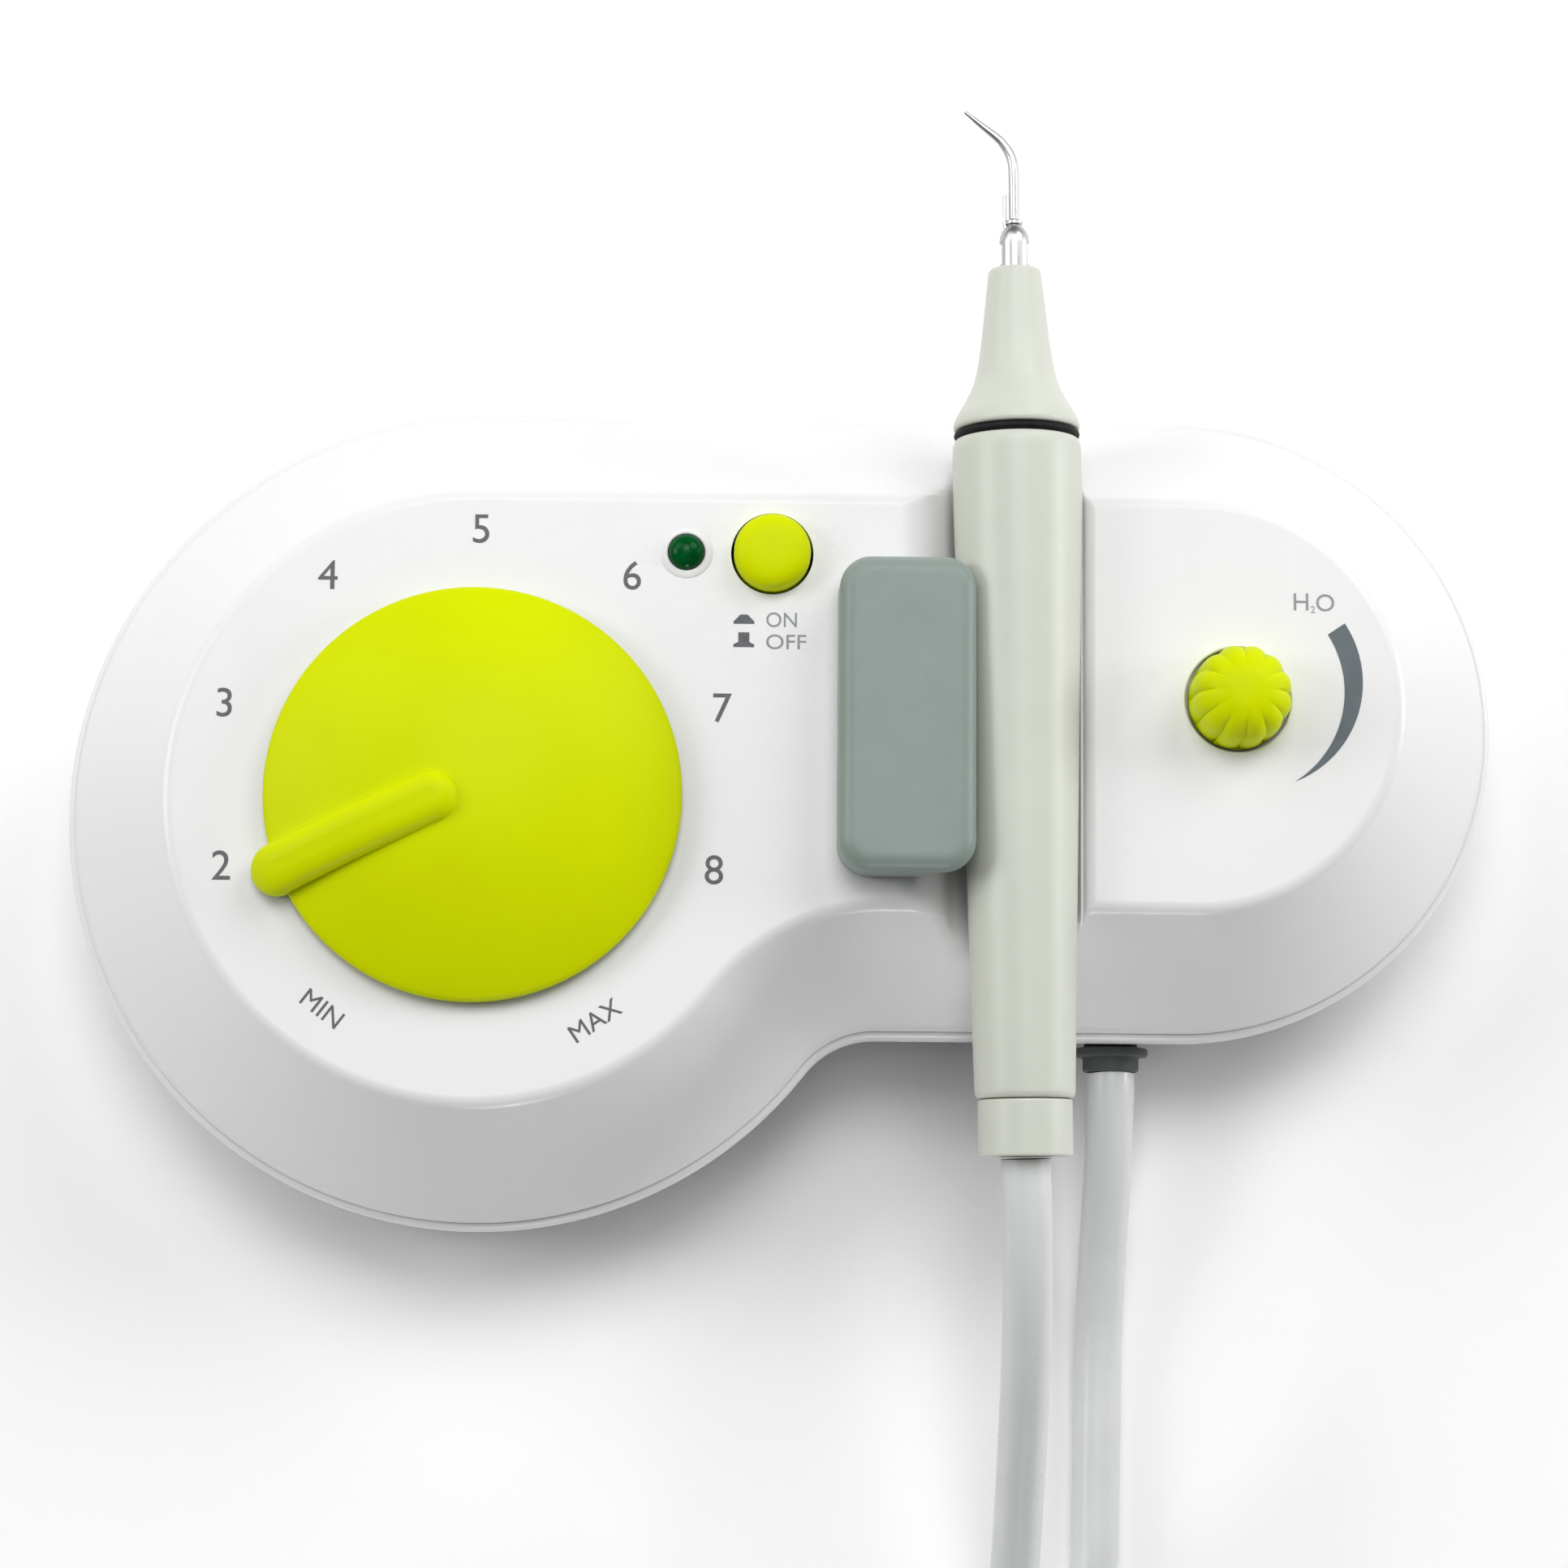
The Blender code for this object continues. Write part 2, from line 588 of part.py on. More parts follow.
def water_knob():
    """A domed knob with soft lobes round its side."""
    def lobes(radius, height, angle):
        if radius < 3.0 or height < WATER_LOW + 0.2:
            return radius
        depth = 0.055 * min(1.0, (radius - 3.0) / 3.0)
        return radius * (1 - depth * (0.5 - 0.5 * cos(WATER_LOBES * angle)) ** 0.6)

    top = [(0, WATER_H), (2.6, WATER_H - 0.25), (4.6, WATER_H - 1.2), (6.0, WATER_H - 2.8)]
    top += [(6.9, WATER_H - 5.6), (WATER_R, 1.2), (WATER_R, WATER_LOW)]
    inside = [(5.6, WATER_LOW), (5.6, 3.3), (2.35, 3.3), (2.35, 7.7), (0, 7.7)]

    def shape(radius, height, angle):
        outer = radius > 5.65 or height > 8
        return lobes(radius, height, angle) if outer else radius

    profile = [*top, *inside]
    turned("water_knob", profile, "lime_plastic", segments=48, shape=shape, at=(*WATER, PANEL_Z))


def water_valve():
    at = (*WATER, 0)
    stem = [(0, 55.3), (STEM_R, 55.3), (STEM_R, 34.0), (0.8, 31.6), (0, 31.6)]
    turned("valve_stem", stem, "steel", segments=16, at=at)
    bore = STEM_R + GAP + 0.05
    body = [
        (7.5, 44.0), (3.5, 44.0), (3.5, 49.6), (bore, 49.6), (bore, 33.8), (1.2, 31.2), (1.2, 29.8),
        (7.5, 29.8),
    ]
    turned("water_valve", body, "brass", segments=20, at=at)
    turned("valve_nut", nut_profile(5.25, 3.8, 46.9, 48.8), "steel", segments=6, at=at)


# ---- inside the console ----


def electronics():
    board = [(-86, -42), (5, -42), (5, 24), (-24, 24), (-24, 16), (-86, 16)]
    main = slab("main_board", board, BOARD_Z, BOARD_Z + BOARD_T, "board_green")
    screw = [(0, 15.6), (2.4, 15.6), (2.6, 13.9), (1.2, 13.9), (1.2, 8.0), (0, 8.0)]
    for i, place in enumerate(BOARD_POSTS):
        drill(main, f"board_hole_{i + 1}", place, 1.7, BOARD_Z - 1, BOARD_Z + 3, segments=12)
        turned(f"board_screw_{i + 1}", screw, "steel", segments=12, at=(*place, 0))

    core = [(0, 31.0), (12.5, 31.0), (12.5, 27.0), (8.0, 27.0), (8.0, 19.0), (12.5, 19.0)]
    core += [(12.5, BOARD_TOP), (0, BOARD_TOP)]
    turned("transformer_core", core, "dark_plastic", segments=28, at=(-64, 0, 0))
    winding = [(12.2, 26.7), (8.3, 26.7), (8.3, 19.3), (12.2, 19.3)]
    turned("transformer_winding", winding, "copper", segments=28, at=(-64, 0, 0))
    can = [(0, 31.0), (6.2, 31.0), (6.5, 30.4), (6.5, BOARD_TOP), (0, BOARD_TOP)]
    turned("filter_capacitor", can, "dark_plastic", segments=20, at=(-74, -22, 0))

    fins, pitch, fin_w, foot_z, top_z = 7, 5.0, 1.6, BOARD_TOP + 2.6, 28.0
    comb, x0 = [(-50, BOARD_TOP), (-50, foot_z)], -50
    for i in range(fins):
        left = x0 + i * pitch
        comb += [(left, foot_z)] if i else []
        comb += [(left, top_z), (left + fin_w, top_z), (left + fin_w, foot_z)]
    comb.append((x0 + (fins - 1) * pitch + fin_w, BOARD_TOP))
    comb.remove((-50, foot_z))
    loft("heat_sink", [[(x, y, z) for x, z in comb] for y in (-39.5, -28)], "aluminium")
    block("power_transistor", (10, 4.4, 14.6), (-32, -25.4, BOARD_TOP + 7.3), "dark_plastic", 0.4)
    block("control_chip", (13, 9, 2.4), (-26, 4, BOARD_TOP + 1.2), "dark_plastic", 0.3)


def water_path():
    valve = block("solenoid_valve", (15, 20, 12.4), (SOLENOID_X, 4, 12.9), "dark_plastic", 0.8)
    coil = [(0, 30.5), (6.4, 30.5), (6.8, 30.0), (6.8, 19.0), (0, 19.0)]
    join(valve, turned("solenoid_coil", coil, None, segments=20, at=(SOLENOID_X, 4, 0)))
    ports = [(0, -8.5), (2.3, -8.5), (2.3, 16.5), (0, 16.5)]
    join(valve, turned("solenoid_ports", ports, None, along="Y", segments=12, at=(SOLENOID_X, 0, REAR_Z)))

    inlet = [(SOLENOID_X, y, REAR_Z) for y in (BACK_Y - 8.6, 28, 22, 16.9)]
    tube("inlet_tube", inlet, 1.7, "blue_plastic")
    feed = [(SOLENOID_X, -8.9, REAR_Z), (SOLENOID_X, -12, REAR_Z), (26, -19, 14), (36, -21, 17)]
    feed += [(45, -16, 23), (50, -8.5, 31), (53, -5.4, 34.6), (57.0, WATER.y, 35)]
    tube("valve_tube", smooth_route(feed, 5), 1.7, "hose_silicone")
    supply = [(WATER.x, -12.9, 35), (WATER.x, -15, 35), (64, -24, 28.5), (59.5, -32.5, 20)]
    supply += [(52.5, -39, 14.2), (49.6, -42, 13.1), (GLAND_X, -45, GLAND_Z)]
    tube("supply_tube", smooth_route(supply, 5), 1.7, "hose_silicone")


def rear_fittings():
    """Two electrical sockets and a push-in water inlet, with their flanges outside the wall."""
    wall, inner = BACK_Y + GAP, BACK_Y - 8.2
    face = wall + 0.8
    for name, x, radius, colour in REAR_FITTINGS:
        if name == "power_socket":
            mouth = [(0, wall), (0.9, wall), (0.9, inner + 2.5), (2.7, inner + 2.5), (2.7, face)]
        elif name == "foot_switch_socket":
            mouth = [(0, inner + 1.5), (1.75, inner + 1.5), (1.75, face)]
        else:
            collar = face + 0.6
            mouth = [(0, inner + 3.0), (1.6, inner + 3.0), (1.6, collar), (2.8, collar), (2.8, face)]
        rim = [(radius + 1.2, face), (radius + 1.2, wall), (radius, wall), (radius, inner), (0, inner)]
        turned(name, [*mouth, *rim], colour, along="Y", segments=20, at=(x, 0, REAR_Z))


def hose_gland():
    wall = FRONT_Y - GAP
    gland = [
        (2.4, wall - 3.6), (4.2, wall - 3.6), (4.2, wall - 1.3), (5.6, wall - 1.3), (5.6, wall),
        (4.0, wall), (4.0, wall + 8.6), (2.4, wall + 8.6),
    ]
    turned("hose_gland", gland, "black_rubber", along="Y", segments=20, at=(GLAND_X, 0, GLAND_Z))
    nut = nut_profile(6.4, 4.3, wall + 4.95, wall + 7.2)
    turned("gland_nut", nut, "dark_plastic", along="Y", segments=6, at=(GLAND_X, 0, GLAND_Z))


# ---- the handpiece ----


def handpiece_axis():
    """The empty that carries the handpiece: its Y axis is the handpiece's axis."""
    axis = bpy.data.objects.new("handpiece_axis", None)
    bpy.context.scene.collection.objects.link(axis)
    axis.location = HANDPIECE_AT * MM
    axis.rotation_euler = Euler((radians(HANDPIECE_PITCH), 0, radians(HANDPIECE_YAW)))
    return axis


def handpiece(axis):
    outside = [(8.75, -0.75), (9.25, -1.6), (FLANGE_R, -3.0), (FLANGE_R, -9.0), (8.65, -36.0)]
    outside += [(7.95, -64.0), (7.2, -94.6), (6.95, SLEEVE_END)]
    inside = [(5.75, SLEEVE_END), (5.75, -86.0), (7.3, -40.0), (7.9, -0.75)]
    turned("handle_sleeve", [*outside, *inside], "handpiece_plastic", along="Y", segments=28, parent=axis)

    seal = [(9.1, 0.45), (9.1, -0.45), (7.9, -0.45), (7.9, 0.45)]
    turned("seal_ring", seal, "black_rubber", along="Y", segments=28, parent=axis)

    nose = [
        (9.0, 0.75), (9.2, 1.4), (8.75, 2.7), (7.4, 5.0), (6.3, 7.3), (5.75, 9.2), (5.1, 13.1),
        (4.4, 19.1), (3.9, 23.8), (3.6, NOSE_END), (2.8, NOSE_END), (2.8, 12.0), (4.4, 3.0), (7.6, 0.75),
    ]
    turned("nose_cone", nose, "handpiece_plastic", along="Y", segments=28, parent=axis)

    horn = [
        (0.8, 22.6), (2.4, 22.6), (2.4, 10.0), (3.6, 1.0), (3.8, -8.0), (6.4, -14.0), (6.9, -18.0),
        (6.9, -20.0), (5.6, -21.0), (5.6, -29.7), (0.8, -29.7),
    ]
    turned("transducer_horn", horn, "titanium", along="Y", segments=20, parent=axis)
    disc_t, first = 2.2, -30.0
    for i in range(PIEZO_DISCS):
        high = first - i * (disc_t + GAP)
        disc = [(5.5, high), (5.5, high - disc_t), (2.2, high - disc_t), (2.2, high)]
        turned(f"piezo_disc_{i + 1}", disc, "ceramic", along="Y", segments=20, parent=axis)
    back = first - PIEZO_DISCS * (disc_t + GAP)
    mass = [(5.6, back), (5.6, back - 10), (3.4, back - 12), (0.8, back - 12), (0.8, back)]
    turned("back_mass", mass, "steel", along="Y", segments=20, parent=axis)
    water = [(1.6, back - 12.3), (1.6, -84.4), (0.8, -84.4), (0.8, back - 12.3)]
    turned("water_tube", water, "hose_silicone", along="Y", segments=14, parent=axis)

    shell_in, shell_out = -87.0, -96.1
    shell = [
        (5.2, shell_in), (3.2, shell_in), (3.2, -97.0), (4.0, -97.4), (4.0, CONNECTOR_END),
        (6.5, CONNECTOR_END), (CONNECTOR_R, -103.6), (CONNECTOR_R, -96.6), (6.5, shell_out),
        (5.2, shell_out),
    ]
    turned("hose_connector", shell, "handpiece_plastic", along="Y", segments=28, parent=axis)
    plug = [(2.85, -84.7), (2.85, -98.6), (0.8, -98.6), (0.8, -84.7)]
    turned("connector_core", plug, "brass", along="Y", segments=16, parent=axis)


def scaler_tip(axis):
    """A threaded root, a base with a cone, and a shaft that bends to the working end."""
    root = [(0.0, NOSE_END - 1.6), (0.0, 30.4), (0.0, 31.7)]
    shaft = [
        (0.0, 32.0), (0.0, 36.0), (0.0, 39.0), (-0.1, 40.5), (-0.5, 41.8), (-1.2, 43.0), (-2.2, 44.2),
        (-4.5, 46.1), (-6.95, 48.15),
    ]
    radii = [TIP_BASE_R, TIP_BASE_R, 1.2, 0.76, 0.74, 0.74, 0.74, 0.72, 0.68, 0.6, 0.44, 0.26]
    line = [(x, y, 0) for x, y in [*root, *shaft]]
    scale = [r / TIP_BASE_R for r in radii]
    tube("scaler_tip", line, TIP_BASE_R, "steel", sides=4, radii=scale, parent=axis)


# ---- the hose ----


def hose():
    from_console = [
        (GLAND_X, -56.85, GLAND_Z), (GLAND_X, -60, 12.95), (49.8, -70, 11.0), (49.5, -79, 7.9),
        (49.2, -88, 5.3), (48.9, -98, 3.9), (48.7, -110, 3.7), (48.5, -122, 3.7), (48.4, -131, 3.7),
        (49.6, -141, 3.7), (52.0, -147.4, 3.7),
    ]
    to_handpiece = [
        HANDPIECE_END, (34.7, -78, 46.2), (34.9, -86, 44.6), (35.1, -94, 41.6),
        (35.2, -102, 37.4), (35.2, -110, 32.4), (35.2, -118, 27.2), (35.1, -126, 22.2),
        (34.8, -133, 18.2), (33.6, -140, 14.8), (31.4, -146.6, 12.4),
    ]
    tube("hose_from_console", smooth_route(from_console, 11), HOSE_R, "hose_silicone", sides=2)
    tube("hose_to_handpiece", smooth_route(to_handpiece, 11), HOSE_R, "hose_silicone", sides=2)
    inner, outer = COIL_MEAN_R - COIL_SECTION_R, COIL_MEAN_R + COIL_SECTION_R
    ring = [
        (outer - 2.5, 0), (outer, 2.5), (outer, COIL_H - 2.5), (outer - 2.5, COIL_H),
        (inner + 2.5, COIL_H), (inner, COIL_H - 2.5), (inner, 2.5), (inner + 2.5, 0),
    ]
    turned("hose_coil", ring, "hose_silicone", segments=32, at=(*COIL, 0))


def handpiece_end():
    """The middle of the connector's rear face, with the hose's gap behind it."""
    turn = Euler((radians(HANDPIECE_PITCH), 0, radians(HANDPIECE_YAW)))
    place = Vector((0, CONNECTOR_END - GAP, 0))
    place.rotate(turn)
    return tuple(HANDPIECE_AT + place)


HANDPIECE_END = handpiece_end()


def main():
    clear_scene()
    upper_shell()
    base_shell()
    feet_and_screws()
    holder()
    power_knob()
    potentiometer()
    power_button()
    status_led()
    water_knob()
    water_valve()
    electronics()
    water_path()
    rear_fittings()
    hose_gland()
    axis = handpiece_axis()
    handpiece(axis)
    scaler_tip(axis)
    hose()


main()
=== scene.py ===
# Ultrasonic scaler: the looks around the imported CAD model. Lengths are millimetres unless a name
# or a comment says metres, and the helpers turn them into metres.

from math import atan2, ceil, cos, degrees, pi, radians, sin, sqrt, tan

import bmesh
import bpy
from mathutils import Euler, Matrix, Vector


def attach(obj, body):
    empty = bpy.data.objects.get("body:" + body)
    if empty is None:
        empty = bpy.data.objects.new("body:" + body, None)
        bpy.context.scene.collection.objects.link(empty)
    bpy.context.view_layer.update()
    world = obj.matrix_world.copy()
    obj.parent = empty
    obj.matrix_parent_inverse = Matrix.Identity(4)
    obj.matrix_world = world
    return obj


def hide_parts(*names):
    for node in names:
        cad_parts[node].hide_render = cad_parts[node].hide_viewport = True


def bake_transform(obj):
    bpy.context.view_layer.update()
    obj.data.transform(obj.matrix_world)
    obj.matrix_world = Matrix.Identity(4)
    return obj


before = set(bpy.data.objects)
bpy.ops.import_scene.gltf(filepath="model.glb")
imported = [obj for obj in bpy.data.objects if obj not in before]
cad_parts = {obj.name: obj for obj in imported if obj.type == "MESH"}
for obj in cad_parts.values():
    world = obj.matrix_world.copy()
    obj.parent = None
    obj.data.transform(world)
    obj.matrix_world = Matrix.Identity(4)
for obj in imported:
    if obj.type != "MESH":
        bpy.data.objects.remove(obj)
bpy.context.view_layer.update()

MM = 0.001

# Console outline at the rim
LEFT = Vector((-44.75, -20.0))
RIGHT = Vector((59.15, -5.6))
LEFT_R = 61.4
RIGHT_R = 47.0
CORNER_R = 13.0
LEFT_STEPS = 120  # of the outline's arc round LEFT
BACK_Y = RIGHT.y + RIGHT_R
FRONT_Y = RIGHT.y - RIGHT_R

# Heights and the panel's edge
BASE_Z = 4.0
SEAM_Z = 24.0
PANEL_Z = 48.0
WALL = 2.2
PANEL_THICK = 2.5
SLOPE_IN = 17.2
SLOPE_FOOT = (1.8, 26.0)
EDGE_R = 2.5

# The arc of the cradle groove's seat, in a section across the groove: (x, z) and radius
SEAT = (33.25, 48.65)
SEAT_R = 9.55
SOFTNESS = 5  # of the meeting between the groove and the slope; a higher one is crisper

# Controls
KNOB_R = 29.85
KNOB_RIM = 1.5  # above the panel
KNOB_TOP = 10.5
KNOB_SPHERE = 59.69
POINTER_SPHERE = 72.0
POINTER_OFFSET = 0.8
POINTER_TURN = 204.0
BUTTON = Vector((-2.3, 15.6))
LED = Vector((-14.7, 15.7))
WATER = Vector((65.0, -4.9))
WATER_LOBES = 12

# Handpiece
HANDPIECE_AT = Vector((32.94, 33.2, PANEL_Z + 1.0))
HANDPIECE_TURN = Euler((radians(1.2), 0, radians(0.84)))

# Hose
HOSE_R = 3.6
GLAND = Vector((50.0, 0.0, 13.0))
COIL = Vector((41.5, -204.5))

# Printed marks, above the panel
PRINT_FOOT = 0.01
PRINT_TOP = 0.045

# Camera: degrees away from straight down, to the side and round its own axis
CAMERA_AT = Vector((-12.55, -96.6, 623.9))
CAMERA_TILT = 7.778
CAMERA_SIDE = -1.215
CAMERA_ROLL = 0.477
CAMERA_LENS = 93.17

# Soft boxes round the origin: name, azimuth, elevation, size in metres, power in watts
LIGHT_DISTANCE = 1.6  # metres
LIGHTS = (
    ("key_light", 92, 66, 0.8, 8.9),
    ("top_light", 90, 80, 0.8, 3.0),
    ("back_right_light", 46, 39, 0.9, 9.5),
    ("back_left_light", 135, 39, 0.9, 5.5),
    ("left_light", 170, 31, 0.7, 8.8),
    ("right_light", 10, 15, 0.6, 9.8),
    ("front_light", -86, 6, 0.2, 6.1),
)
WORLD_STRENGTH = 0.03
FLOOR_HALF = 4.0  # metres


# ---- camera, lights and floor ----


def camera():
    """Looks almost straight down from a little in front, like the photograph."""
    tilt, side, roll = radians(CAMERA_TILT), radians(CAMERA_SIDE), radians(CAMERA_ROLL)
    ahead = Vector((-sin(side) * cos(tilt), sin(tilt), -cos(tilt) * cos(side))).normalized()
    right = ahead.cross(Vector((0, 1, 0))).normalized()
    up = right.cross(ahead)
    right, up = cos(roll) * right + sin(roll) * up, -sin(roll) * right + cos(roll) * up
    data = bpy.data.cameras.new("camera")
    data.lens = CAMERA_LENS
    data.sensor_width = 36.0
    data.clip_start, data.clip_end = 0.01, 20.0
    item = bpy.data.objects.new("camera", data)
    turn = Matrix((right, up, -ahead)).transposed().to_4x4()
    item.matrix_world = Matrix.Translation(CAMERA_AT * MM) @ turn
    bpy.context.scene.collection.objects.link(item)
    bpy.context.scene.camera = item


def area_light(name, azimuth, elevation, size, power):
    """A soft box that faces the origin; azimuth is counted from +X towards +Y."""
    data = bpy.data.lights.new(name, "AREA")
    data.shape = "DISK"
    data.size = size
    data.energy = power
    item = bpy.data.objects.new(name, data)
    a, e = radians(azimuth), radians(elevation)
    away = Vector((cos(a) * cos(e), sin(a) * cos(e), sin(e)))
    item.location = away * LIGHT_DISTANCE
    item.rotation_mode = "QUATERNION"
    item.rotation_quaternion = away.to_track_quat("Z", "Y")
    bpy.context.scene.collection.objects.link(item)


def studio():
    for light in LIGHTS:
        area_light(*light)
    world = bpy.data.worlds.new("studio_world")
    world.use_nodes = True
    background = world.node_tree.nodes["Background"]
    background.inputs["Color"].default_value = (1.0, 1.0, 1.0, 1)
    background.inputs["Strength"].default_value = WORLD_STRENGTH
    bpy.context.scene.world = world
    bpy.context.scene.view_settings.view_transform = "Standard"

    mesh = bpy.data.meshes.new("studio_floor")
    half = FLOOR_HALF
    corners = [(-half, -half, 0), (half, -half, 0), (half, half, 0), (-half, half, 0)]
    mesh.from_pydata(corners, [], [(0, 1, 2, 3)])
    floor = bpy.data.objects.new("studio_floor", mesh)
    bpy.context.scene.collection.objects.link(floor)
    paper = material("studio_paper", (0.97, 0.97, 0.97), 0.9, tone=0.003, tone_size=300, bump=0.0,
                     specular=0.0)
    mesh.materials.append(paper)


# ---- materials ----


def material(name, colour, roughness, *, metallic=0.0, tone=0.04, tone_size=12.0, grain=0.5,
             bump=0.006, rough_change=0.06, specular=0.5, stretch=(1, 1, 1),
             wear=0.0, wear_colour=None, sheen=0.0):
    """A procedural finish: broad colour variation, fine grain in roughness and height.

    tone_size and grain are the sizes of the two noises and bump is a height, all millimetres.
    stretch scales the noises along each axis, and wear mixes in patches of a second colour.
    """
    made = bpy.data.materials.new(name)
    made.use_nodes = True
    tree = made.node_tree
    shader = tree.nodes["Principled BSDF"]
    shader.inputs["Metallic"].default_value = metallic
    shader.inputs["Specular IOR Level"].default_value = specular
    shader.inputs["Sheen Weight"].default_value = sheen

    def node(kind, **values):
        new = tree.nodes.new(kind)
        for socket, value in values.items():
            new.inputs[socket.replace("_", " ")].default_value = value
        return new

    def link(a, out, b, into):
        tree.links.new(a.outputs[out], b.inputs[into])

    place = tree.nodes.new("ShaderNodeTexCoord")
    scaled = tree.nodes.new("ShaderNodeMapping")
    scaled.inputs["Scale"].default_value = stretch
    link(place, "Object", scaled, "Vector")
    broad = node("ShaderNodeTexNoise", Scale=1000 / tone_size, Detail=3.0, Roughness=0.55)
    link(scaled, "Vector", broad, "Vector")
    ramp = tree.nodes.new("ShaderNodeValToRGB")
    low, high = ramp.color_ramp.elements
    low.position, high.position = 0.32, 0.68
    low.color = (*[c * (1 - tone) for c in colour], 1)
    high.color = (*[min(c * (1 + tone), 1.0) for c in colour], 1)
    link(broad, "Fac", ramp, "Fac")
    if wear:
        edge = node("ShaderNodeTexNoise", Scale=1000 / (tone_size * 0.3), Detail=6.0)
        link(scaled, "Vector", edge, "Vector")
        mask = node("ShaderNodeMapRange", From_Min=0.55, From_Max=0.75, To_Min=0.0, To_Max=wear)
        link(edge, "Fac", mask, "Value")
        # A colour mix has its factor at input 0, A at 6, B at 7 and its result at output 2.
        mix = tree.nodes.new("ShaderNodeMix")
        mix.data_type = "RGBA"
        mix.inputs[7].default_value = (*wear_colour, 1)
        link(mask, "Result", mix, 0)
        link(ramp, "Color", mix, 6)
        link(mix, 2, shader, "Base Color")
    else:
        link(ramp, "Color", shader, "Base Color")

    fine = node("ShaderNodeTexNoise", Scale=1000 / grain, Detail=4.0, Roughness=0.6)
    link(scaled, "Vector", fine, "Vector")
    spread = node(
        "ShaderNodeMapRange", From_Min=0.3, From_Max=0.7,
        To_Min=max(roughness - rough_change, 0.02), To_Max=min(roughness + rough_change, 1.0),
    )
    link(fine, "Fac", spread, "Value")
    link(spread, "Result", shader, "Roughness")
    if bump:
        relief = node("ShaderNodeBump", Strength=1.0, Distance=bump * MM)
        link(fine, "Fac", relief, "Height")
        link(relief, "Normal", shader, "Normal")
    return made


def all_materials():
    soft = {"tone": 0.012, "tone_size": 40.0, "grain": 0.9, "bump": 0.0022}
    metal = {"metallic": 1.0, "tone": 0.05, "tone_size": 5.0, "grain": 0.3, "bump": 0.0008}
    return {
        "white_plastic": material("white_plastic", (0.765, 0.765, 0.77), 0.36, **soft),
        "lime_plastic": material(
            "lime_plastic", (0.59, 0.675, 0.0), 0.42, tone=0.02, tone_size=14, grain=0.8,
            bump=0.003, specular=0.05,
        ),
        "grey_silicone": material(
            "grey_silicone", (0.223, 0.274, 0.25), 0.45, tone=0.035, tone_size=9, grain=0.35,
            bump=0.006, specular=0.4, sheen=0.05,
        ),
        "handpiece_plastic": material(
            "handpiece_plastic", (0.585, 0.605, 0.535), 0.42, tone=0.02, tone_size=16, grain=0.5,
            bump=0.003,
        ),
        "black_rubber": material(
            "black_rubber", (0.010, 0.011, 0.011), 0.6, tone=0.25, tone_size=2, grain=0.25,
            bump=0.008, specular=0.15,
        ),
        "steel": material("steel", (0.5, 0.5, 0.51), 0.36, stretch=(1, 0.15, 1), **metal),
        "titanium": material("titanium", (0.38, 0.37, 0.35), 0.32, stretch=(1, 0.2, 1), **metal),
        "brass": material("brass", (0.72, 0.50, 0.20), 0.3, **metal),
        "ceramic": material("ceramic", (0.2, 0.13, 0.08), 0.5, tone=0.12, tone_size=3, grain=0.2),
        "green_led": material(
            "green_led", (0.001, 0.07, 0.014), 0.14, tone=0.3, tone_size=2.2, grain=0.4,
            bump=0.0006, specular=0.08, rough_change=0.02,
        ),
        "board_green": material(
            "board_green", (0.01, 0.13, 0.05), 0.42, tone=0.25, tone_size=6, grain=0.3,
            wear=0.6, wear_colour=(0.02, 0.2, 0.08),
        ),
        "dark_plastic": material(
            "dark_plastic", (0.03, 0.03, 0.032), 0.5, tone=0.15, tone_size=8, grain=0.4,
        ),
        "copper": material("copper", (0.72, 0.3, 0.15), 0.35, stretch=(1, 1, 6), **metal),
        "aluminium": material("aluminium", (0.7, 0.7, 0.71), 0.35, stretch=(0.2, 1, 1), **metal),
        "hose_silicone": material(
            "hose_silicone", (0.62, 0.635, 0.625), 0.3, tone=0.02, tone_size=8, grain=0.9,
            bump=0.001, rough_change=0.03,
        ),
        "blue_plastic": material(
            "blue_plastic", (0.03, 0.16, 0.45), 0.4, tone=0.08, tone_size=8, grain=0.4,
        ),
        "collar_rubber": material(
            "collar_rubber", (0.075, 0.083, 0.08), 0.55, tone=0.1, tone_size=3, grain=0.3,
            bump=0.006, specular=0.3,
        ),
        "dark_ink": material(
            "dark_ink", (0.10, 0.105, 0.115), 0.6, tone=0.12, tone_size=1.2, grain=0.15,
            bump=0.001,
        ),
        "grey_ink": material(
            "grey_ink", (0.26, 0.27, 0.29), 0.6, tone=0.1, tone_size=1.2, grain=0.15, bump=0.001,
        ),
        "slate_ink": material(
            "slate_ink", (0.095, 0.12, 0.135), 0.55, tone=0.08, tone_size=3, grain=0.15,
            bump=0.001,
        ),
    }


# ---- mesh helpers: every point they take is in millimetres ----


def shape(name, points, faces):
    """A mesh object with its faces turned outwards, not yet finished."""
    mesh = bpy.data.meshes.new(name)
    mesh.from_pydata([Vector(p) * MM for p in points], [], faces)
    work = bmesh.new()
    work.from_mesh(mesh)
    bmesh.ops.recalc_face_normals(work, faces=work.faces)
    work.to_mesh(mesh)
    work.free()
    item = bpy.data.objects.new(name, mesh)
    bpy.context.scene.collection.objects.link(item)
    return item


def bands(count, total):
    """The faces between each ring of count points and the next, among total points."""
    faces = []
    for low in range(0, total - count, count):
        for i in range(count):
            j = (i + 1) % count
            faces.append((low + i, low + j, low + count + j, low + count + i))
    return faces


def loft(name, rings):
    """A closed solid through rings of equal length, capped at both ends."""
    count = len(rings[0])
    points = [p for ring in rings for p in ring]
    total = len(points)
    faces = [tuple(range(count)), tuple(range(total - count, total)), *bands(count, total)]
    return shape(name, points, faces)


